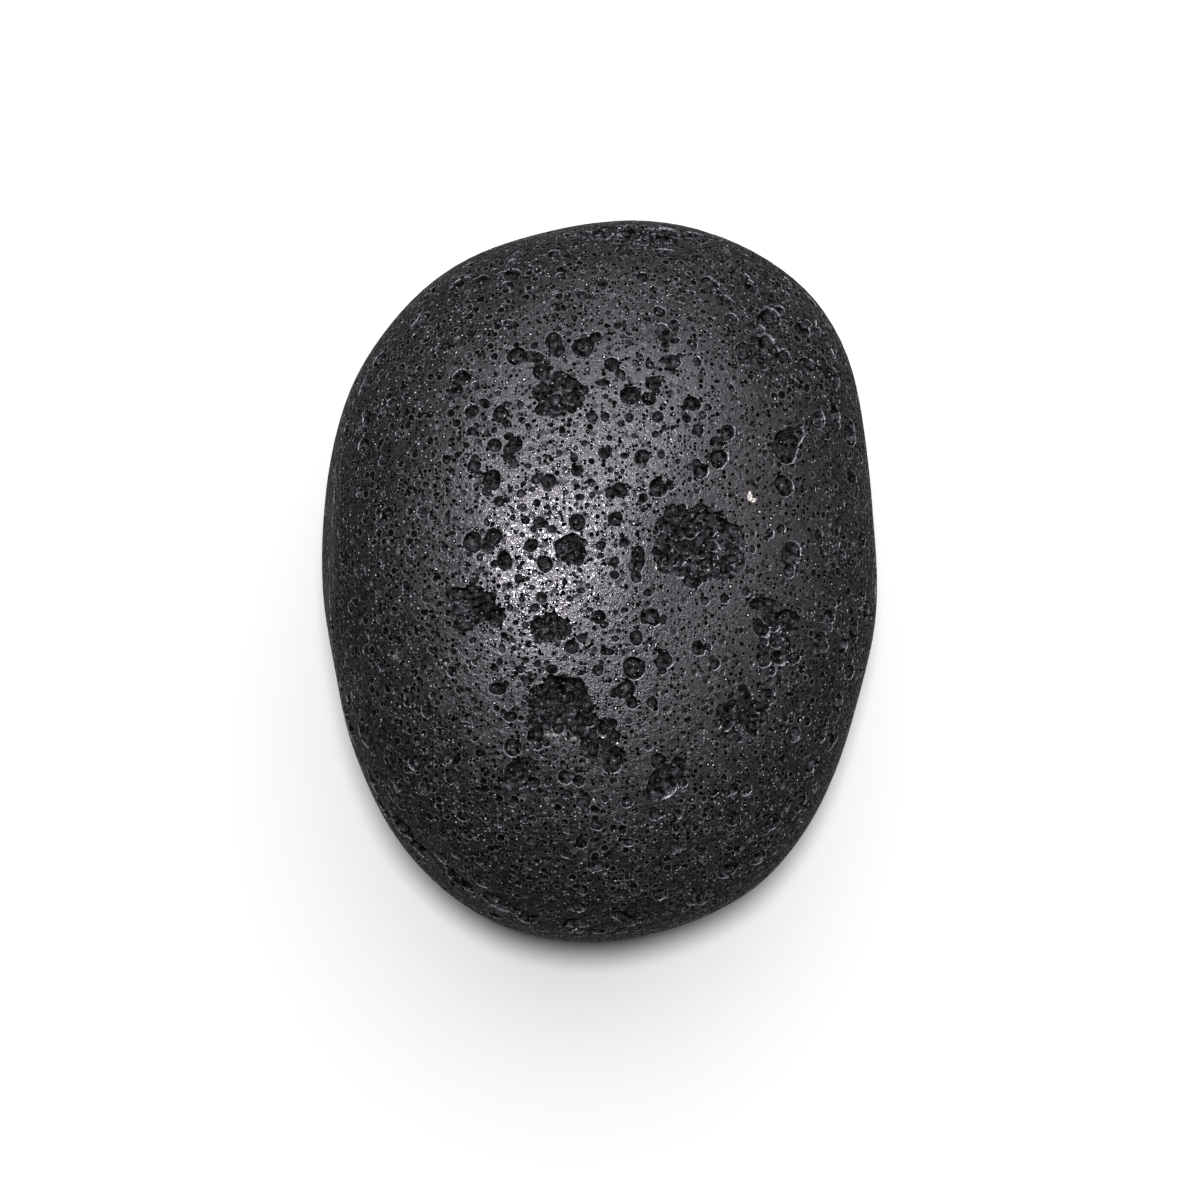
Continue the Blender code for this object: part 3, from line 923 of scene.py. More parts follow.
class BubbleField:
    """Turns the bubbles' places into bubbles on the stone's surface."""

    PROBE = 4.0 * MM
    PROBE_REACH = 2.5
    INNER_SPACING = 0.80 * MM
    INNER_RADIUS = (0.22 * MM, 0.66 * MM)
    INNER_SPREAD = 0.92
    INNER_FINENESS = 1.8
    INNER_DEPTH = (0.8, 1.7)
    SCALLOP_SPACING = 1.3 * MM
    SCALLOP_RADIUS = (0.34 * MM, 0.80 * MM)
    SCALLOP_SPREAD = (0.86, 1.02)
    SATELLITE_HOST = 0.42 * MM
    SATELLITE_COUNTS = (0, 1, 1, 2, 2, 3)
    SATELLITE_SIZE = (0.30, 0.70)
    SATELLITE_GAP = (-0.2, 0.7)
    SATELLITE_OVAL = (0.75, 1.0)
    SATELLITE_DEPTH = (0.8, 1.6)
    TRIES = 60
    OVAL = (0.72, 1.0)
    FINE_DEPTH = (0.75, 1.6)
    LOWEST_FINE = 0.25 * MM

    def __init__(self, form: StoneForm, layout: StoneBubbles, seed: int) -> None:
        """Keep the form and the layout.

        Args:
            form: The stone's closed form.
            layout: Where the hollows and the bubbles lie.
            seed: The seed of all that is scattered here.
        """
        self.form = form
        self.layout = layout
        self.source = random.Random(seed)

    def above(self, x: float, y: float) -> tuple[Vector, Vector]:
        """Return the closed form's surface point under (x, y) and its smooth normal."""
        start = Vector((x, y, 2.0 * self.form.thickness))
        point = self.form.tree.ray_cast(start, Vector((0.0, 0.0, -1.0)))[0]
        return point, self.form.smooth_normal(point)

    def towards(self, direction: Vector) -> tuple[Vector, Vector]:
        """Return the closed form's surface point in a direction and its smooth normal."""
        start = self.form.core + direction * self.form.length
        point = self.form.tree.ray_cast(start, -direction)[0]
        return point, self.form.smooth_normal(point)

    def hollows(self) -> list[Hollow]:
        """Return every hollow of the stone."""
        made = self._hollows_above(self.layout.hollows)
        for heading, rise, *size in self.layout.flank_hollows + self.layout.edge_hollows:
            surface = self.towards(facing(heading, rise))
            made.append(Hollow(*surface, *(value * MM for value in size)))
        return made

    def lobes(self) -> list[Hollow]:
        """Return the lobes of the upper face's hollows."""
        return self._hollows_above(self.layout.lobes)

    def _hollows_above(self, rows: Rows) -> list[Hollow]:
        """Return hollows of the upper face."""
        return [Hollow(*self.above(x * MM, y * MM), *(value * MM for value in size))
                for x, y, *size in rows]

    def inside(self, hollows: list[Hollow], tree: BVHTree) -> list[Bubble]:
        """Return the bubbles inside the hollows, moved down onto the stone.

        Args:
            hollows: The hollows.
            tree: A search tree over the stone with its hollows sunk.

        Returns:
            The bubbles that meet the stone.
        """
        made = []
        for hollow in hollows:
            for bubble in self._inner_bubbles(hollow):
                start = bubble.place + bubble.outward * self.PROBE
                reach = self.PROBE_REACH * self.PROBE
                point = tree.ray_cast(start, -bubble.outward, reach)[0]
                if point is not None:
                    made.append(replace(bubble, place=point))
        return made

    def _inner_bubbles(self, hollow: Hollow) -> list[Bubble]:
        """Return the bubbles that scallop the rim of a hollow and crowd its floor.

        Args:
            hollow: The hollow that they lie in.

        Returns:
            The bubbles, at the height of the closed form.
        """
        made = []
        around = math.pi * 0.5 * (hollow.width + hollow.length)
        for _ in range(round(around / self.SCALLOP_SPACING)):
            share = self.source.uniform(*self.SCALLOP_SPREAD)
            made.append(self._in_hollow(hollow, share, self.SCALLOP_RADIUS))
        floor = math.pi * hollow.width * hollow.length / 4.0
        for _ in range(round(floor / self.INNER_SPACING ** 2)):
            share = self.INNER_SPREAD * math.sqrt(self.source.random())
            made.append(self._in_hollow(hollow, share, self.INNER_RADIUS))
        return made

    def _in_hollow(self, hollow: Hollow, share: float, radii: tuple[float, float]) -> Bubble:
        """Return a bubble at a share of the way from the middle of a hollow to its rim.

        Args:
            hollow: The hollow that it lies in.
            share: The share of the way.
            radii: The smallest and the largest radius.

        Returns:
            The bubble.
        """
        across = Vector((0.0, 1.0, 0.0)).cross(hollow.outward).normalized()
        along = hollow.outward.cross(across)
        turn = self.source.uniform(0.0, 2.0 * math.pi)
        offset = (across * math.cos(turn) * hollow.width
                  + along * math.sin(turn) * hollow.length) * (0.5 * share)
        smallest, largest = radii
        radius = (smallest + (largest - smallest)
                  * self.source.random() ** self.INNER_FINENESS)
        depth = radius * self.source.uniform(*self.INNER_DEPTH)
        return Bubble(hollow.place + offset, hollow.outward, radius,
                      radius * self.source.uniform(*self.OVAL), depth,
                      self.source.uniform(0.0, math.pi))

    def satellites(self, hosts: list[Bubble]) -> list[Bubble]:
        """Return the smaller bubbles that broke into the sides of larger ones.

        Args:
            hosts: The bubbles they may have broken into.

        Returns:
            The smaller bubbles.
        """
        made = []
        for host in hosts:
            radius = 0.5 * (host.across + host.along)
            if radius < self.SATELLITE_HOST:
                continue
            for _ in range(self.source.choice(self.SATELLITE_COUNTS)):
                turn = self.source.uniform(0.0, 2.0 * math.pi)
                level = Vector((math.cos(turn), math.sin(turn), 0.0))
                level = (level - host.outward * level.dot(host.outward)).normalized()
                size = radius * self.source.uniform(*self.SATELLITE_SIZE)
                gap = size * self.source.uniform(*self.SATELLITE_GAP)
                spot = host.place + level * (radius + gap)
                nearest = self.form.tree.find_nearest(spot)[0]
                made.append(Bubble(nearest, self.form.smooth_normal(nearest), size,
                                   size * self.source.uniform(*self.SATELLITE_OVAL),
                                   size * self.source.uniform(*self.SATELLITE_DEPTH),
                                   self.source.uniform(0.0, math.pi)))
        return made

    def placed(self) -> list[Bubble]:
        """Return the upper face's bubbles and the flanks' larger ones."""
        made = []
        for x, y, width, length, depth in self.layout.large:
            place, outward = self.above(x * MM, y * MM)
            made.append(Bubble(place, outward, 0.5 * width * MM, 0.5 * length * MM, depth * MM))
        for heading, rise, width, depth in self.layout.edge_bubbles:
            place, outward = self.towards(facing(heading, rise))
            made.append(Bubble(place, outward, 0.5 * width * MM, 0.5 * width * MM, depth * MM))
        for direction, radius in self.layout.scattered(self.form):
            place, outward = self.towards(direction)
            made.append(Bubble(place, outward, radius, radius, self.layout.scatter_depth * radius))
        for rows, opening in ((self.layout.deep, Opening.DEEP),
                              (self.layout.round, Opening.ROUND),
                              (self.layout.worn, Opening.WORN)):
            for x, y, width, length in rows:
                place, outward = self.above(x * MM, y * MM)
                depth = 0.25 * (width + length) * opening.value * MM
                made.append(Bubble(place, outward, 0.5 * width * MM, 0.5 * length * MM, depth))
        return made

    def fine(self, count: int, radii: tuple[float, float], fineness: float,
             taken: list[Bubble], crowds: tuple[Crowd, ...],
             elsewhere: float = 1.0) -> list[Bubble]:
        """Return fine bubbles scattered over the whole surface, clear of those taken.

        Args:
            count: How many are tried.
            radii: The smallest and the largest radius.
            fineness: How much the small ones outnumber the large ones.
            taken: The bubbles and hollows that they keep clear of.
            crowds: Where they crowd or thin out.
            elsewhere: The chance of one away from every crowd.

        Returns:
            The bubbles, from the largest to the smallest.
        """
        smallest, largest = radii
        share = np.array([self.source.random() for _ in range(count)])
        low, high = smallest ** -fineness, largest ** -fineness
        sizes = sorted(((low - share * (low - high)) ** (-1.0 / fineness)).tolist(), reverse=True)
        corners = self.form.spots[self.form.faces]
        areas = np.linalg.norm(np.cross(corners[:, 1] - corners[:, 0],
                                        corners[:, 2] - corners[:, 0]), axis=1)
        edges = np.cumsum(areas) / areas.sum()
        patches = Patches()
        for bubble in taken:
            patches.take(bubble.place, max(bubble.across, bubble.along))
        top = elsewhere + sum(max(crowd.gain, 0.0) for crowd in crowds)
        made = []
        for radius in sizes:
            for _ in range(self.TRIES):
                spot = self._anywhere(corners, edges)
                chance = elsewhere
                for crowd in crowds:
                    gap = (spot - crowd.centre).length / crowd.reach
                    chance += crowd.gain * math.exp(-0.5 * gap * gap)
                if spot.z < self.LOWEST_FINE or self.source.random() * top > chance:
                    continue
                if patches.is_taken(spot, radius):
                    continue
                patches.take(spot, radius)
                depth = radius * self.source.uniform(*self.FINE_DEPTH)
                made.append(Bubble(spot, self.form.smooth_normal(spot), radius,
                                   radius * self.source.uniform(*self.OVAL), depth,
                                   self.source.uniform(0.0, math.pi)))
                break
        return made

    def _anywhere(self, corners: np.ndarray, edges: np.ndarray) -> Vector:
        """Return a random spot of the closed form.

        Args:
            corners: The corners of each face.
            edges: The share of the whole area up to the end of each face.

        Returns:
            The spot.
        """
        face = min(int(np.searchsorted(edges, self.source.random())), len(edges) - 1)
        first, second = self.source.random(), self.source.random()
        if first + second > 1.0:
            first, second = 1.0 - first, 1.0 - second
        a, b, c = corners[face]
        return Vector(a + (b - a) * first + (c - a) * second)


class NodeBench:
    """Adds nodes to one node tree and wires them up."""

    def __init__(self, tree: bpy.types.NodeTree) -> None:
        """Keep the tree."""
        self.tree = tree

    def add(self, kind: str, **settings: object) -> bpy.types.Node:
        """Return a new node with some of its settings and inputs given.

        Args:
            kind: The node's type.
            settings: The node's own settings, or inputs by name with _ for a space.

        Returns:
            The node.
        """
        node = self.tree.nodes.new(kind)
        for name, value in settings.items():
            if hasattr(node, name):
                setattr(node, name, value)
            else:
                self.feed(node.inputs[name.replace("_", " ")], value)
        return node

    def feed(self, socket: Socket, value: object) -> None:
        """Wire a socket to another, or set its value."""
        if isinstance(value, Socket):
            self.tree.links.new(value, socket)
        else:
            socket.default_value = value

    def math(self, operation: str, first: object, second: object = 0.0,
             clamp: bool = False) -> Socket:
        """Return the result of one sum.

        Args:
            operation: The sum's name.
            first: The first number or socket.
            second: The second number or socket.
            clamp: Whether it is kept between nought and one.

        Returns:
            The result.
        """
        node = self.tree.nodes.new("ShaderNodeMath")
        node.operation = operation
        node.use_clamp = clamp
        self.feed(node.inputs[0], first)
        self.feed(node.inputs[1], second)
        return node.outputs[0]

    def blend(self, share: object, first: object, second: object) -> Socket:
        """Return the mix of two colours.

        Args:
            share: How much of the second there is.
            first: The first colour.
            second: The second colour.

        Returns:
            The mix.
        """
        node = self.tree.nodes.new("ShaderNodeMix")
        node.data_type = "RGBA"
        self.feed(node.inputs[0], share)
        self.feed(node.inputs[6], first)
        self.feed(node.inputs[7], second)
        return node.outputs[2]

    def span(self, value: object, low: float, high: float, first: float = 0.0,
             second: float = 1.0) -> Socket:
        """Return a value spread smoothly from one span to another.

        Args:
            value: The value.
            low: Where its span begins.
            high: Where its span ends.
            first: Where the new span begins.
            second: Where the new span ends.

        Returns:
            The new value.
        """
        node = self.tree.nodes.new("ShaderNodeMapRange")
        node.interpolation_type = "SMOOTHSTEP"
        for socket, given in zip(node.inputs[:5], (value, low, high, first, second)):
            self.feed(socket, given)
        return node.outputs[0]


@dataclass(frozen=True)
class Marks:
    """Round marks in some of the cells of a loose grid.

    The spacing is in millimetres, the rarity is the share of the cells that stay empty, and
    the largest and the smallest radius are shares of a cell.
    """

    spacing: float
    rarity: float
    largest: float
    smallest: float

    def spread(self, bench: NodeBench, place: Socket) -> tuple[Socket, Socket]:
        """Return where the marks are.

        Args:
            bench: The tree's bench.
            place: The place in millimetres.

        Returns:
            A mask of the cells that hold a mark, and how far each place is from the middle
            of its mark, as a share of the mark's radius.
        """
        cells = bench.add("ShaderNodeTexVoronoi", Vector=place, Scale=1.0 / self.spacing)
        hue = bench.add("ShaderNodeSeparateColor", Color=cells.outputs["Color"])
        chosen = bench.math("GREATER_THAN", hue.outputs[0], self.rarity)
        radius = bench.span(hue.outputs[1], 0.0, 1.0, self.smallest, self.largest)
        return chosen, bench.math("DIVIDE", cells.outputs["Distance"], radius)


class BasaltTexture:
    """The stone's fine texture as masks and heights, shared by all of its finishes."""

    NAME = "basalt_texture"
    MASKS = ("Mottle", "Swell", "Grain", "Grit", "Dimples", "Rings", "Pores", "Pinholes",
             "Specks", "Glints")
    MOTTLE_LENGTH = 5.0
    MOTTLE_SPAN = (0.3, 0.7)
    SWELL_LENGTH = 1.7
    GRAIN_LENGTH = 0.50
    GRAIN_SPAN = (0.36, 0.64)
    GRIT_LENGTH = 0.22
    GRIT_SPAN = (0.38, 0.62)
    DIMPLES = Marks(0.86, 0.25, 0.46, 0.207)
    PORES = Marks(0.50, 0.54, 0.44, 0.198)
    PINHOLES = Marks(0.30, 0.60, 0.50, 0.225)
    SPECKS = Marks(0.34, 0.62, 0.36, 0.18)
    GLINTS = Marks(0.50, 0.78, 0.22, 0.11)
    RING_PLACE = 1.08
    RING_EDGE = (0.04, 0.22)
    PORE_RINGS = 0.7
    DOT_TEAR = 0.35
    DOT_EDGE = (0.6, 1.0)

    def build(self) -> bpy.types.NodeTree:
        """Return the node group; its one input is a place on the stone in millimetres."""
        group = bpy.data.node_groups.new(self.NAME, "ShaderNodeTree")
        group.interface.new_socket("Place", in_out="INPUT", socket_type="NodeSocketVector")
        for name in self.MASKS:
            group.interface.new_socket(name, in_out="OUTPUT", socket_type="NodeSocketFloat")
        bench = NodeBench(group)
        place = group.nodes.new("NodeGroupInput").outputs[0]
        result = group.nodes.new("NodeGroupOutput")
        mottle = self._noise(bench, place, self.MOTTLE_LENGTH, 4.0, 0.6)
        grain = self._noise(bench, place, self.GRAIN_LENGTH, 3.0, 0.6)
        grit = self._noise(bench, place, self.GRIT_LENGTH, 2.0, 0.6)
        dimples, rings = self._bowls(bench, place, self.DIMPLES)
        pores, edges = self._bowls(bench, place, self.PORES)
        edges = bench.math("MULTIPLY", edges, self.PORE_RINGS)
        made = {
            "Mottle": bench.span(mottle, *self.MOTTLE_SPAN),
            "Swell": self._noise(bench, place, self.SWELL_LENGTH, 2.0, 0.5),
            "Grain": bench.span(grain, *self.GRAIN_SPAN),
            "Grit": bench.span(grit, *self.GRIT_SPAN),
            "Dimples": dimples,
            "Rings": bench.math("MAXIMUM", rings, edges),
            "Pores": pores,
            "Pinholes": self._bowls(bench, place, self.PINHOLES)[0],
            "Specks": self._dots(bench, place, grit, self.SPECKS),
            "Glints": self._dots(bench, place, grit, self.GLINTS),
        }
        for name, mask in made.items():
            bench.feed(result.inputs[name], mask)
        return group

    @staticmethod
    def _noise(bench: NodeBench, place: Socket, length: float, detail: float,
               roughness: float) -> Socket:
        """Return noise of one wavelength in millimetres.

        Args:
            bench: The tree's bench.
            place: The place in millimetres.
            length: The wavelength.
            detail: How many finer layers it has.
            roughness: How strong each finer layer is.

        Returns:
            The noise.
        """
        node = bench.add("ShaderNodeTexNoise", Vector=place, Scale=1.0 / length, Detail=detail,
                         Roughness=roughness)
        return node.outputs[0]

    def _bowls(self, bench: NodeBench, place: Socket, marks: Marks) -> tuple[Socket, Socket]:
        """Return the depth of round bowls.

        Args:
            bench: The tree's bench.
            place: The place in millimetres.
            marks: Where the bowls are.

        Returns:
            The depth, one at the bottom of a bowl, and a mask of the thin rings round them, which
            the skin paints pale as highlights.
        """
        chosen, share = marks.spread(bench, place)
        bowl = bench.math("SUBTRACT", 1.0, bench.math("MULTIPLY", share, share), clamp=True)
        gap = bench.math("ABSOLUTE", bench.math("SUBTRACT", share, self.RING_PLACE))
        ring = bench.span(gap, *self.RING_EDGE, 1.0, 0.0)
        return bench.math("MULTIPLY", chosen, bowl), bench.math("MULTIPLY", chosen, ring)

    def _dots(self, bench: NodeBench, place: Socket, ragged: Socket, marks: Marks) -> Socket:
        """Return a mask of ragged dots.

        Args:
            bench: The tree's bench.
            place: The place in millimetres.
            ragged: The noise that tears the dots' edges.
            marks: Where the dots are.

        Returns:
            The mask, one at the middle of a dot.
        """
        chosen, share = marks.spread(bench, place)
        tear = bench.span(ragged, *self.MOTTLE_SPAN, -self.DOT_TEAR, self.DOT_TEAR)
        dot = bench.span(bench.math("ADD", share, tear), *self.DOT_EDGE, 1.0, 0.0)
        return bench.math("MULTIPLY", chosen, dot)


class StoneFinish:
    """A material of the stone in the making, with the shared texture in it."""

    def __init__(self, name: str, texture: bpy.types.NodeTree) -> None:
        """Start the material.

        Args:
            name: The material's name.
            texture: The shared texture group.
        """
        self.material = bpy.data.materials.new(name)
        self.material.use_nodes = True
        tree = self.material.node_tree
        self.bench = NodeBench(tree)
        self.shader = tree.nodes["Principled BSDF"]
        where = self.bench.add("ShaderNodeTexCoord")
        scaled = self.bench.add("ShaderNodeMapping", Vector=where.outputs["Object"],
                                Scale=(1.0 / MM, 1.0 / MM, 1.0 / MM))
        self.place = scaled.outputs[0]
        group = tree.nodes.new("ShaderNodeGroup")
        group.node_tree = texture
        self.bench.feed(group.inputs[0], self.place)
        self.masks = {socket.name: socket for socket in group.outputs}

    def share(self, shares: Shares, first: object = 0.0) -> Socket:
        """Return a value with a share of each of some masks added to it.

        Args:
            shares: The masks' names and shares.
            first: The value that they are added to.

        Returns:
            The sum.
        """
        for name, amount in shares:
            part = self.bench.math("MULTIPLY", self.masks[name], amount)
            first = self.bench.math("ADD", first, part)
        return first

    def reach(self, place: Vector3, size: Vector3, flatten: bool = False) -> Socket:
        """Return how far each place is from another, as a share of a size.

        Args:
            place: The other place, in millimetres.
            size: The size along each axis, in millimetres.
            flatten: Whether heights count for nothing.

        Returns:
            The distance, one where the size is reached.
        """
        offset = self.bench.add("ShaderNodeMapping", vector_type="TEXTURE", Vector=self.place,
                                Location=place, Scale=size).outputs[0]
        if flatten:
            level = self.bench.add("ShaderNodeVectorMath", operation="MULTIPLY")
            self.bench.feed(level.inputs[0], offset)
            level.inputs[1].default_value = (1.0, 1.0, 0.0)
            offset = level.outputs[0]
        length = self.bench.add("ShaderNodeVectorMath", operation="LENGTH")
        self.bench.feed(length.inputs[0], offset)
        return length.outputs["Value"]

    def polish(self, shine: float, lustre: float, edge_tint: Colour) -> None:
        """Set how strongly the whole finish reflects.

        Args:
            shine: The level of the plain reflection.
            lustre: The share of the reflection that takes the stone's own colour.
            edge_tint: The colour of the reflection towards the stone's edge.
        """
        self.shader.inputs["Specular IOR Level"].default_value = shine
        self.shader.inputs["Specular Tint"].default_value = edge_tint
        self.shader.inputs["Metallic"].default_value = lustre

    def finished(self, colour: Socket, rough: Socket, height: Socket) -> bpy.types.Material:
        """Return the material with its colour, its roughness and its relief.

        Args:
            colour: The base colour.
            rough: The roughness.
            height: The relief's height in millimetres.

        Returns:
            The material.
        """
        relief = self.bench.add("ShaderNodeBump", Height=height, Distance=MM)
        self.bench.feed(self.shader.inputs["Base Color"], colour)
        self.bench.feed(self.shader.inputs["Roughness"], rough)
        self.bench.feed(self.shader.inputs["Normal"], relief.outputs[0])
        return self.material


@dataclass(frozen=True)
class Fleck:
    """One of the pale crumbs, or a faint smear painted as a highlight along a hollow's rim: its
    place and size in millimetres, and its strength.
    """

    place: Vector3
    size: Vector3
    strength: float


@dataclass(frozen=True)
class WornSkin:
    """The basalt skin: rubbed to a satin on the crown, rough round the ends and darker there,
    partly its own tone and partly painted shade.
    """

    name: str = "worn_basalt"
    dark: Colour = (0.003, 0.0027, 0.0032, 1.0)
    pale: Colour = (0.088, 0.0843, 0.0906, 1.0)
    # Painted highlight on the thin rings round the dimples and pores.
    ring: Colour = (0.170, 0.1620, 0.1750, 1.0)
    # Painted shade in the pores and pinholes.
    pore_shade: Colour = (0.001, 0.0009, 0.001, 1.0)
    speck: Colour = (0.22, 0.210, 0.230, 1.0)
    glint: Colour = (0.40, 0.39, 0.41, 1.0)
    # Colour of the pale crumbs and of the painted highlights along the hollows' rims.
    crumb_and_highlight: Colour = (0.45, 0.43, 0.41, 1.0)
    satin: float = 0.265
    matte: float = 0.52
    shine: float = 0.10
    lustre: float = 0.52
    edge_tint: Colour = (0.52, 0.505, 0.53, 1.0)
    tones: Shares = (("Mottle", 0.2), ("Grit", 0.45), ("Grain", 0.35))
    # Darker ends and a paler crown: partly the skin's own tone and partly painted shade.
    raw_and_painted_shade: float = 0.47
    rubbed_and_painted_light: tuple[float, float] = (0.50, 0.35)
    # Painted shade that darkens the dimples' bowls.
    dimple_painted_shade: float = 0.4
    rubbed_marks: float = 0.25
    ring_highlight_share: float = 0.42
    hole_edge: float = 0.35
    hole_matte: float = 0.35
    grit_matte: tuple[float, float] = (0.10, -0.06)
    crown: Vector3 = (1.8, 3.0, 0.0)
    crown_size: Vector3 = (19.8, 26.0, 60.0)
    crown_sway: float = 0.10
    worn_span: tuple[float, float] = (0.46, 1.10)
    rubbed_relief: float = 0.16
    raw_relief: Shares = (
        ("Swell", 0.14), ("Grain", 0.080), ("Dimples", -0.38), ("Pores", -0.12),
    )
    relief: Shares = (
        ("Grit", 0.018), ("Pores", -0.12), ("Pinholes", -0.08), ("Specks", 0.02), ("Glints", 0.03),
    )
    fleck_noise: tuple[float, float] = (3.2, 3.0)
    fleck_edge: tuple[float, float] = (1.2, 1.5)
    flecks: tuple[Fleck, ...] = (
        Fleck((13.1, 7.3, 31.0), (0.24, 0.48, 8.0), 1.0),
        Fleck((13.4, 7.0, 31.0), (0.34, 0.22, 8.0), 0.8),
        Fleck((5.0, 1.2, 34.0), (0.24, 0.24, 3.0), 0.9),
        Fleck((6.0, 1.5, 34.0), (0.12, 0.20, 3.0), 0.7),
        Fleck((19.3, 23.0, 24.0), (0.10, 0.55, 6.0), 0.6),
        Fleck((-17.8, -6.7, 28.0), (0.50, 0.42, 6.0), 0.18),
        # The three faint smears are painted highlights along the hollows' rims.
        Fleck((-4.2, -13.3, 30.0), (0.90, 0.26, 8.0), 0.16),
        Fleck((-2.6, -13.7, 30.0), (0.90, 0.26, 8.0), 0.18),
        Fleck((-5.3, 18.8, 30.0), (0.80, 0.28, 8.0), 0.16),
    )

    def build(self, texture: bpy.types.NodeTree) -> bpy.types.Material:
        """Return the skin's material.

        Args:
            texture: The shared texture group.

        Returns:
            The material.
        """
        finish = StoneFinish(self.name, texture)
        bench = finish.bench
        worn = self._worn_and_lit(finish)
        holes = bench.math("MAXIMUM", finish.masks["Pores"], finish.masks["Pinholes"])
        holes = bench.span(holes, 0.0, self.hole_edge)
        rough = bench.span(worn, 0.0, 1.0, self.matte, self.satin)
        rough = bench.math("ADD", rough, bench.math("MULTIPLY", holes, self.hole_matte))
        grit = bench.span(finish.masks["Grit"], 0.0, 1.0, *self.grit_matte)
        rough = bench.math("ADD", rough, grit, clamp=True)
        fade = bench.span(worn, 0.0, 1.0, 1.0, self.rubbed_relief)
        height = bench.math("MULTIPLY", finish.share(self.raw_relief), fade)
        finish.polish(self.shine, self.lustre, self.edge_tint)
        return finish.finished(self._colour(finish, worn, holes), rough,
                               finish.share(self.relief, height))

    def _worn_and_lit(self, finish: StoneFinish) -> Socket:
        """Return the mask of the rubbed crown; the colour also uses it to paint the crown paler
        than the ends, partly as painted light.

        Args:
            finish: The finish in the making.

        Returns:
            The mask.
        """
        distance = finish.reach(self.crown, self.crown_size, flatten=True)
        sway = finish.bench.span(finish.masks["Mottle"], 0.0, 1.0,
                                 -self.crown_sway, self.crown_sway)
        return finish.bench.span(finish.bench.math("ADD", distance, sway), *self.worn_span,
                                 1.0, 0.0)

    def _colour(self, finish: StoneFinish, worn: Socket, holes: Socket) -> Socket:
        """Return the skin's colour.

        Args:
            finish: The finish in the making.
            worn: The mask of the rubbed crown, also used to paint the crown paler than the ends,
                partly as painted light.
            holes: The mask of the pores and pinholes, which are painted dark as shade in them.

        Returns:
            The colour.
        """
        bench, masks = finish.bench, finish.masks
        shade = finish.share(self.tones)
        # Darker towards the ends and paler on the crown, partly the skin's own tone and partly
        # painted shade.
        least, more = self.rubbed_and_painted_light
        rubbed = bench.math("ADD", least, bench.math("MULTIPLY", shade, more))
        shade = bench.blend(worn, bench.math("MULTIPLY", shade, self.raw_and_painted_shade), rubbed)
        # Painted shade: the dimples' bowls are darkened.
        dimples = bench.math("MULTIPLY", masks["Dimples"], self.dimple_painted_shade)
        shade = bench.math("SUBTRACT", shade, dimples, clamp=True)
        marks = bench.span(worn, 0.0, 1.0, 1.0, self.rubbed_marks)
        specks = bench.math("MULTIPLY", masks["Specks"], marks)
        # Painted highlight: the rings round the dimples and pores are made paler.
        rings = bench.math("MULTIPLY", masks["Rings"],
                           bench.math("MULTIPLY", marks, self.ring_highlight_share))
        colour = bench.blend(shade, self.dark, self.pale)
        # Paint on the specks, the rings as painted highlights, the pores as painted shade, the
        # glints, and the crumbs with the painted rim highlights.
        for mask, tone in ((specks, self.speck), (rings, self.ring), (holes, self.pore_shade),
                           (masks["Glints"], self.glint), (self._dust_and_highlights(finish), self.crumb_and_highlight)):
            colour = bench.blend(mask, colour, tone)
        return colour

    def _dust_and_highlights(self, finish: StoneFinish) -> Socket:
        """Return the mask of the pale crumbs and of the smears painted as highlights along the
        hollows' rims, with ragged edges.

        Args:
            finish: The finish in the making.

        Returns:
            The mask.
        """
        scale, detail = self.fleck_noise
        ragged = finish.bench.add("ShaderNodeTexNoise", Vector=finish.place, Scale=scale,
                                  Detail=detail)
        mask: object = 0.0
        for fleck in self.flecks:
            edge = finish.bench.math("ADD", finish.reach(fleck.place, fleck.size),
                                     ragged.outputs[0])
            dot = finish.bench.span(edge, *self.fleck_edge, fleck.strength, 0.0)
            mask = finish.bench.math("MAXIMUM", mask, dot)
        return mask


@dataclass(frozen=True)
class BubbleWall:
    """The raw, granular wall inside the opened bubbles."""

    name: str = "bubble_wall"
    dark: Colour = (0.002, 0.0018, 0.0021, 1.0)
    pale: Colour = (0.048, 0.0450, 0.0500, 1.0)
    speck: Colour = (0.15, 0.144, 0.154, 1.0)
    glint: Colour = (0.28, 0.27, 0.28, 1.0)
    gloss: tuple[float, float] = (0.40, 0.70)
    shine: float = 0.08
    lustre: float = 0.45
    edge_tint: Colour = (0.52, 0.505, 0.53, 1.0)
    relief: Shares = (("Swell", 0.06), ("Grain", 0.08), ("Grit", 0.03), ("Dimples", -0.10))

    def build(self, texture: bpy.types.NodeTree) -> bpy.types.Material:
        """Return the wall's material.

        Args:
            texture: The shared texture group.

        Returns:
            The material.
        """
        finish = StoneFinish(self.name, texture)
        bench, masks = finish.bench, finish.masks
        colour = bench.blend(masks["Grain"], self.dark, self.pale)
        colour = bench.blend(masks["Specks"], colour, self.speck)
        colour = bench.blend(masks["Glints"], colour, self.glint)
        smoothest, roughest = self.gloss
        rough = bench.span(masks["Grain"], 0.0, 1.0, roughest, smoothest)
        finish.polish(self.shine, self.lustre, self.edge_tint)
        return finish.finished(colour, rough, finish.share(self.relief))


SKIN = WornSkin()
WALL = BubbleWall()
# The bubbles' rims are painted pale, a painted highlight where their worn edges catch the light.
RIM_HIGHLIGHT = WornSkin(name="rim_highlight", dark=(0.06, 0.0565, 0.0625, 1.0), pale=(0.24, 0.226, 0.250, 1.0),
               satin=0.30, matte=0.45, raw_and_painted_shade=0.78, flecks=())


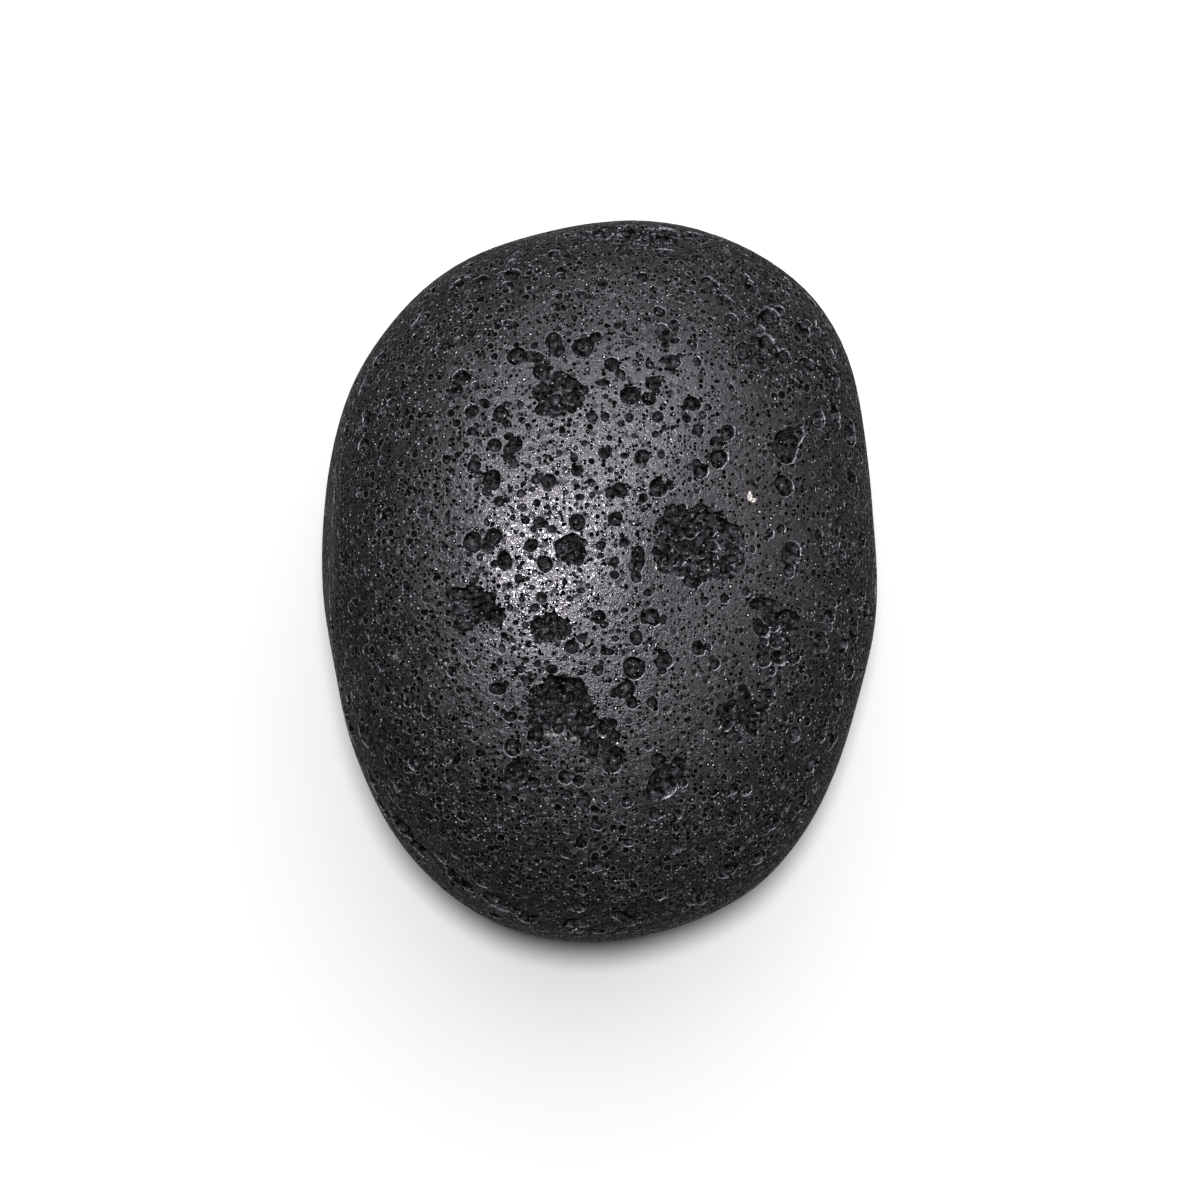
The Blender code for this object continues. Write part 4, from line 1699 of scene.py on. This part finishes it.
class LavaStone:
    """The whole stone: its worn form, its opened bubbles and its finishes."""

    FIELD_SEED = 29
    DENT_SEED = 5
    FINE_COUNT = 1380
    FINE_RADII = (0.19 * MM, 0.62 * MM)
    FINENESS = 2.2
    CROWN_COUNT = 520
    CROWN_RADII = (0.19 * MM, 0.48 * MM)
    HOLLOW_SIZES = (2.9 * MM, 5.2 * MM)
    SMOOTH_ANGLE = math.radians(62.0)
    CROWDS = (
        Crowd(Vector((-5.0, 5.0, 35.0)) * MM, 9.0 * MM, 0.9),
        Crowd(Vector((-16.0, -6.0, 28.0)) * MM, 9.0 * MM, 0.9),
        Crowd(Vector((0.0, -27.0, 20.0)) * MM, 10.0 * MM, 1.5),
        Crowd(Vector((-16.0, -20.0, 20.0)) * MM, 8.0 * MM, 0.8),
        Crowd(Vector((20.0, 23.0, 20.0)) * MM, 6.0 * MM, 0.8),
        Crowd(Vector((15.0, 6.0, 30.0)) * MM, 8.0 * MM, -0.5),
    )
    CROWN_CROWDS = (
        Crowd(Vector((-5.0, 6.0, 34.0)) * MM, 5.0 * MM, 1.0),
        Crowd(Vector((-5.5, -1.5, 34.0)) * MM, 4.0 * MM, 1.3),
        Crowd(Vector((-5.0, -8.0, 34.0)) * MM, 4.0 * MM, 0.8),
        Crowd(Vector((0.0, 15.0, 32.0)) * MM, 6.0 * MM, 0.4),
    )

    def __init__(self, finishes: list[bpy.types.Material]) -> None:
        """Lay out the stone's form and bubbles.

        Args:
            finishes: The materials of the skin, of the bubbles' walls and of their rims, which are
                painted pale as a highlight.
        """
        self.finishes = finishes
        self.form = StoneForm()
        self.layout = StoneBubbles()
        self.field = BubbleField(self.form, self.layout, self.FIELD_SEED)

    def build(self) -> bpy.types.Object:
        """Model the stone.

        Returns:
            The finished stone.
        """
        stone = self.form.build()
        for finish in self.finishes:
            stone.data.materials.append(finish)
        log.info("form: %d faces", len(stone.data.polygons))
        carver = Carver(stone, self.DENT_SEED)
        hollows = self.field.hollows()
        lobes = self.field.lobes()
        self._sink(carver, hollows + lobes)
        log.info("hollows: %d sunk, %d faces", len(hollows + lobes), len(stone.data.polygons))
        placed = self.field.placed()
        inner = self.field.inside(hollows, carver.tree())
        placed += self.field.satellites(placed)
        pockets = [Bubble(h.place, h.outward, 0.5 * h.width, 0.5 * h.length, h.depth)
                   for h in hollows + lobes]
        fine = self.field.fine(self.CROWN_COUNT, self.CROWN_RADII, self.FINENESS,
                               placed + pockets, self.CROWN_CROWDS, elsewhere=0.0)
        fine += self.field.fine(self.FINE_COUNT, self.FINE_RADII, self.FINENESS,
                                placed + pockets + fine, self.CROWDS)
        opened = carver.open(placed + inner + fine)
        self._drop_crumbs(stone)
        log.info("bubbles: %d placed, %d in hollows, %d fine, %d opened, %d triangles",
                 len(placed), len(inner), len(fine), opened,
                 sum(len(face.vertices) - 2 for face in stone.data.polygons))
        self._smooth(stone)
        return stone

    def _sink(self, carver: Carver, hollows: list[Hollow]) -> None:
        """Sink the hollows one after another, because some run into each other.

        Args:
            carver: The carver that holds the stone.
            hollows: The hollows, in order.
        """
        cutters = (HollowCutter(3), HollowCutter(4), HollowCutter(5))
        for hollow in hollows:
            size = max(hollow.width, hollow.length)
            cutter = cutters[sum(size > limit for limit in self.HOLLOW_SIZES)]
            carver.cut([cutter.shaped(hollow)], cutter.faces, cutter.slots)

    def _drop_crumbs(self, stone: bpy.types.Object) -> None:
        """Delete the crumbs of rock that the bubbles have cut loose all round.

        Args:
            stone: The stone with its bubbles opened.
        """
        make_active(stone)
        bpy.ops.object.mode_set(mode="EDIT")
        bpy.ops.mesh.select_mode(type="VERT")
        bpy.ops.mesh.select_all(action="DESELECT")
        bpy.ops.object.mode_set(mode="OBJECT")
        lowest = min(stone.data.vertices, key=lambda vertex: vertex.co.z)
        lowest.select = True
        bpy.ops.object.mode_set(mode="EDIT")
        bpy.ops.mesh.select_linked()
        bpy.ops.mesh.select_all(action="INVERT")
        bpy.ops.mesh.delete(type="VERT")
        bpy.ops.object.mode_set(mode="OBJECT")

    def _smooth(self, stone: bpy.types.Object) -> None:
        """Shade the skin as one smooth surface, and the bubbles' walls by their angles.

        Args:
            stone: The stone with its bubbles opened.
        """
        make_active(stone)
        bpy.ops.object.shade_smooth_by_angle(angle=self.SMOOTH_ANGLE)
        mesh = stone.data
        corners = gathered(mesh.loops, "vertex_index", 1, np.int32)
        slots = gathered(mesh.polygons, "material_index", 1, np.int32)
        sizes = gathered(mesh.polygons, "loop_total", 1, np.int32)
        on_skin = np.repeat(slots == 0, sizes)
        normals = np.zeros((len(mesh.vertices), 3))
        for index in np.unique(corners[on_skin]).tolist():
            normals[index] = self.form.smooth_normal(mesh.vertices[index].co)
        custom = np.where(on_skin[:, None], normals[corners], 0.0)
        mesh.normals_split_custom_set(custom.tolist())


@dataclass(frozen=True)
class StudioLight:
    """A far, round studio light: where it stands, how wide it looks and how strong it is."""

    name: str
    bearing: float
    height: float
    spread: float
    strength: float

    def build(self) -> None:
        """Hang the light; its bearing, height and spread are in degrees."""
        light = bpy.data.lights.new(self.name, "SUN")
        light.angle = math.radians(self.spread)
        light.energy = self.strength
        lamp = bpy.data.objects.new(self.name, light)
        lamp.rotation_mode = "QUATERNION"
        away = facing(self.bearing, self.height)
        lamp.rotation_quaternion = away.to_track_quat("Z", "Y")
        bpy.context.scene.collection.objects.link(lamp)


@dataclass
class Studio:
    """A plain white studio with soft light, and a camera that looks straight down."""

    floor_size: float = 16.0
    floor_white: float = 0.366
    surround: tuple[float, float] = (0.0, 0.56)
    surround_axis: Vector3 = (0.40, 0.88, 0.18)
    surround_span: tuple[float, float] = (-0.45, 0.9)
    contrast: float = 0.82
    lens: float = 150.0
    film: float = 36.0
    clip: tuple[float, float] = (0.01, 30.0)
    view_width: float = 108.1 * MM
    view_centre: tuple[float, float] = (0.05 * MM, -1.71 * MM)
    lights: tuple[StudioLight, ...] = (
        StudioLight("overhead_light", 88.0, 82.0, 11.0, 6.3),
        StudioLight("back_light", 84.0, 42.0, 75.0, 3.4),
    )

    def build(self, belly: float) -> bpy.types.Object:
        """Set up the floor, the lights and the camera.

        Args:
            belly: The height of the stone's widest section, which the view is framed on.

        Returns:
            The floor.
        """
        floor = self._floor()
        self._surround()
        for light in self.lights:
            light.build()
        self._camera(belly)
        return floor

    def _floor(self) -> bpy.types.Object:
        """Lay the pale floor."""
        deselect_all()
        bpy.ops.mesh.primitive_plane_add(size=self.floor_size)
        floor = bpy.context.object
        floor.name = "floor"
        material = bpy.data.materials.new("white_board")
        material.use_nodes = True
        shader = material.node_tree.nodes["Principled BSDF"]
        shader.inputs["Base Color"].default_value = (self.floor_white,) * 3 + (1.0,)
        shader.inputs["Roughness"].default_value = 1.0
        shader.inputs["Specular IOR Level"].default_value = 0.0
        floor.data.materials.append(material)
        return floor

    def _surround(self) -> None:
        """Light everything softly from a surround that is brighter behind the stone."""
        world = bpy.data.worlds.new("studio")
        world.use_nodes = True
        bench = NodeBench(world.node_tree)
        background = world.node_tree.nodes["Background"]
        where = bench.add("ShaderNodeTexCoord")
        facing_back = bench.add("ShaderNodeVectorMath", operation="DOT_PRODUCT")
        bench.feed(facing_back.inputs[0], where.outputs["Generated"])
        facing_back.inputs[1].default_value = self.surround_axis
        glow = bench.span(facing_back.outputs["Value"], *self.surround_span, *self.surround)
        seen = bench.add("ShaderNodeLightPath")
        strength = bench.math("MAXIMUM", glow, seen.outputs["Is Camera Ray"])
        bench.feed(background.inputs["Strength"], strength)
        background.inputs["Color"].default_value = (1.0, 1.0, 1.0, 1.0)
        bpy.context.scene.world = world

    def _camera(self, belly: float) -> None:
        """Stand the camera over the stone.

        Args:
            belly: The height of the stone's widest section, which the view is framed on.
        """
        lens = bpy.data.cameras.new("camera")
        lens.lens = self.lens
        lens.sensor_width = self.film
        lens.clip_start, lens.clip_end = self.clip
        camera = bpy.data.objects.new("camera", lens)
        distance = self.view_width * self.lens / self.film
        camera.location = (*self.view_centre, belly + distance)
        bpy.context.scene.collection.objects.link(camera)
        bpy.context.scene.camera = camera
        scene = bpy.context.scene
        scene.view_settings.view_transform = "Standard"
        scene.view_settings.look = "None"
        scene.view_settings.gamma = self.contrast


def main() -> None:
    """Build the finishes, the stone and the studio, in that order."""
    logging.basicConfig(level=logging.INFO, format="%(name)s: %(message)s", force=True)
    texture = BasaltTexture().build()
    finishes = [finish.build(texture) for finish in (SKIN, WALL, RIM_HIGHLIGHT)]
    model = LavaStone(finishes)
    stone = model.build()
    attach(stone, "root")
    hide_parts(NODE)
    floor = Studio().build(model.form.belly_height)
    log.info("stone: %d vertices, %d faces", len(stone.data.vertices), len(stone.data.polygons))


if __name__ == "__main__":
    main()
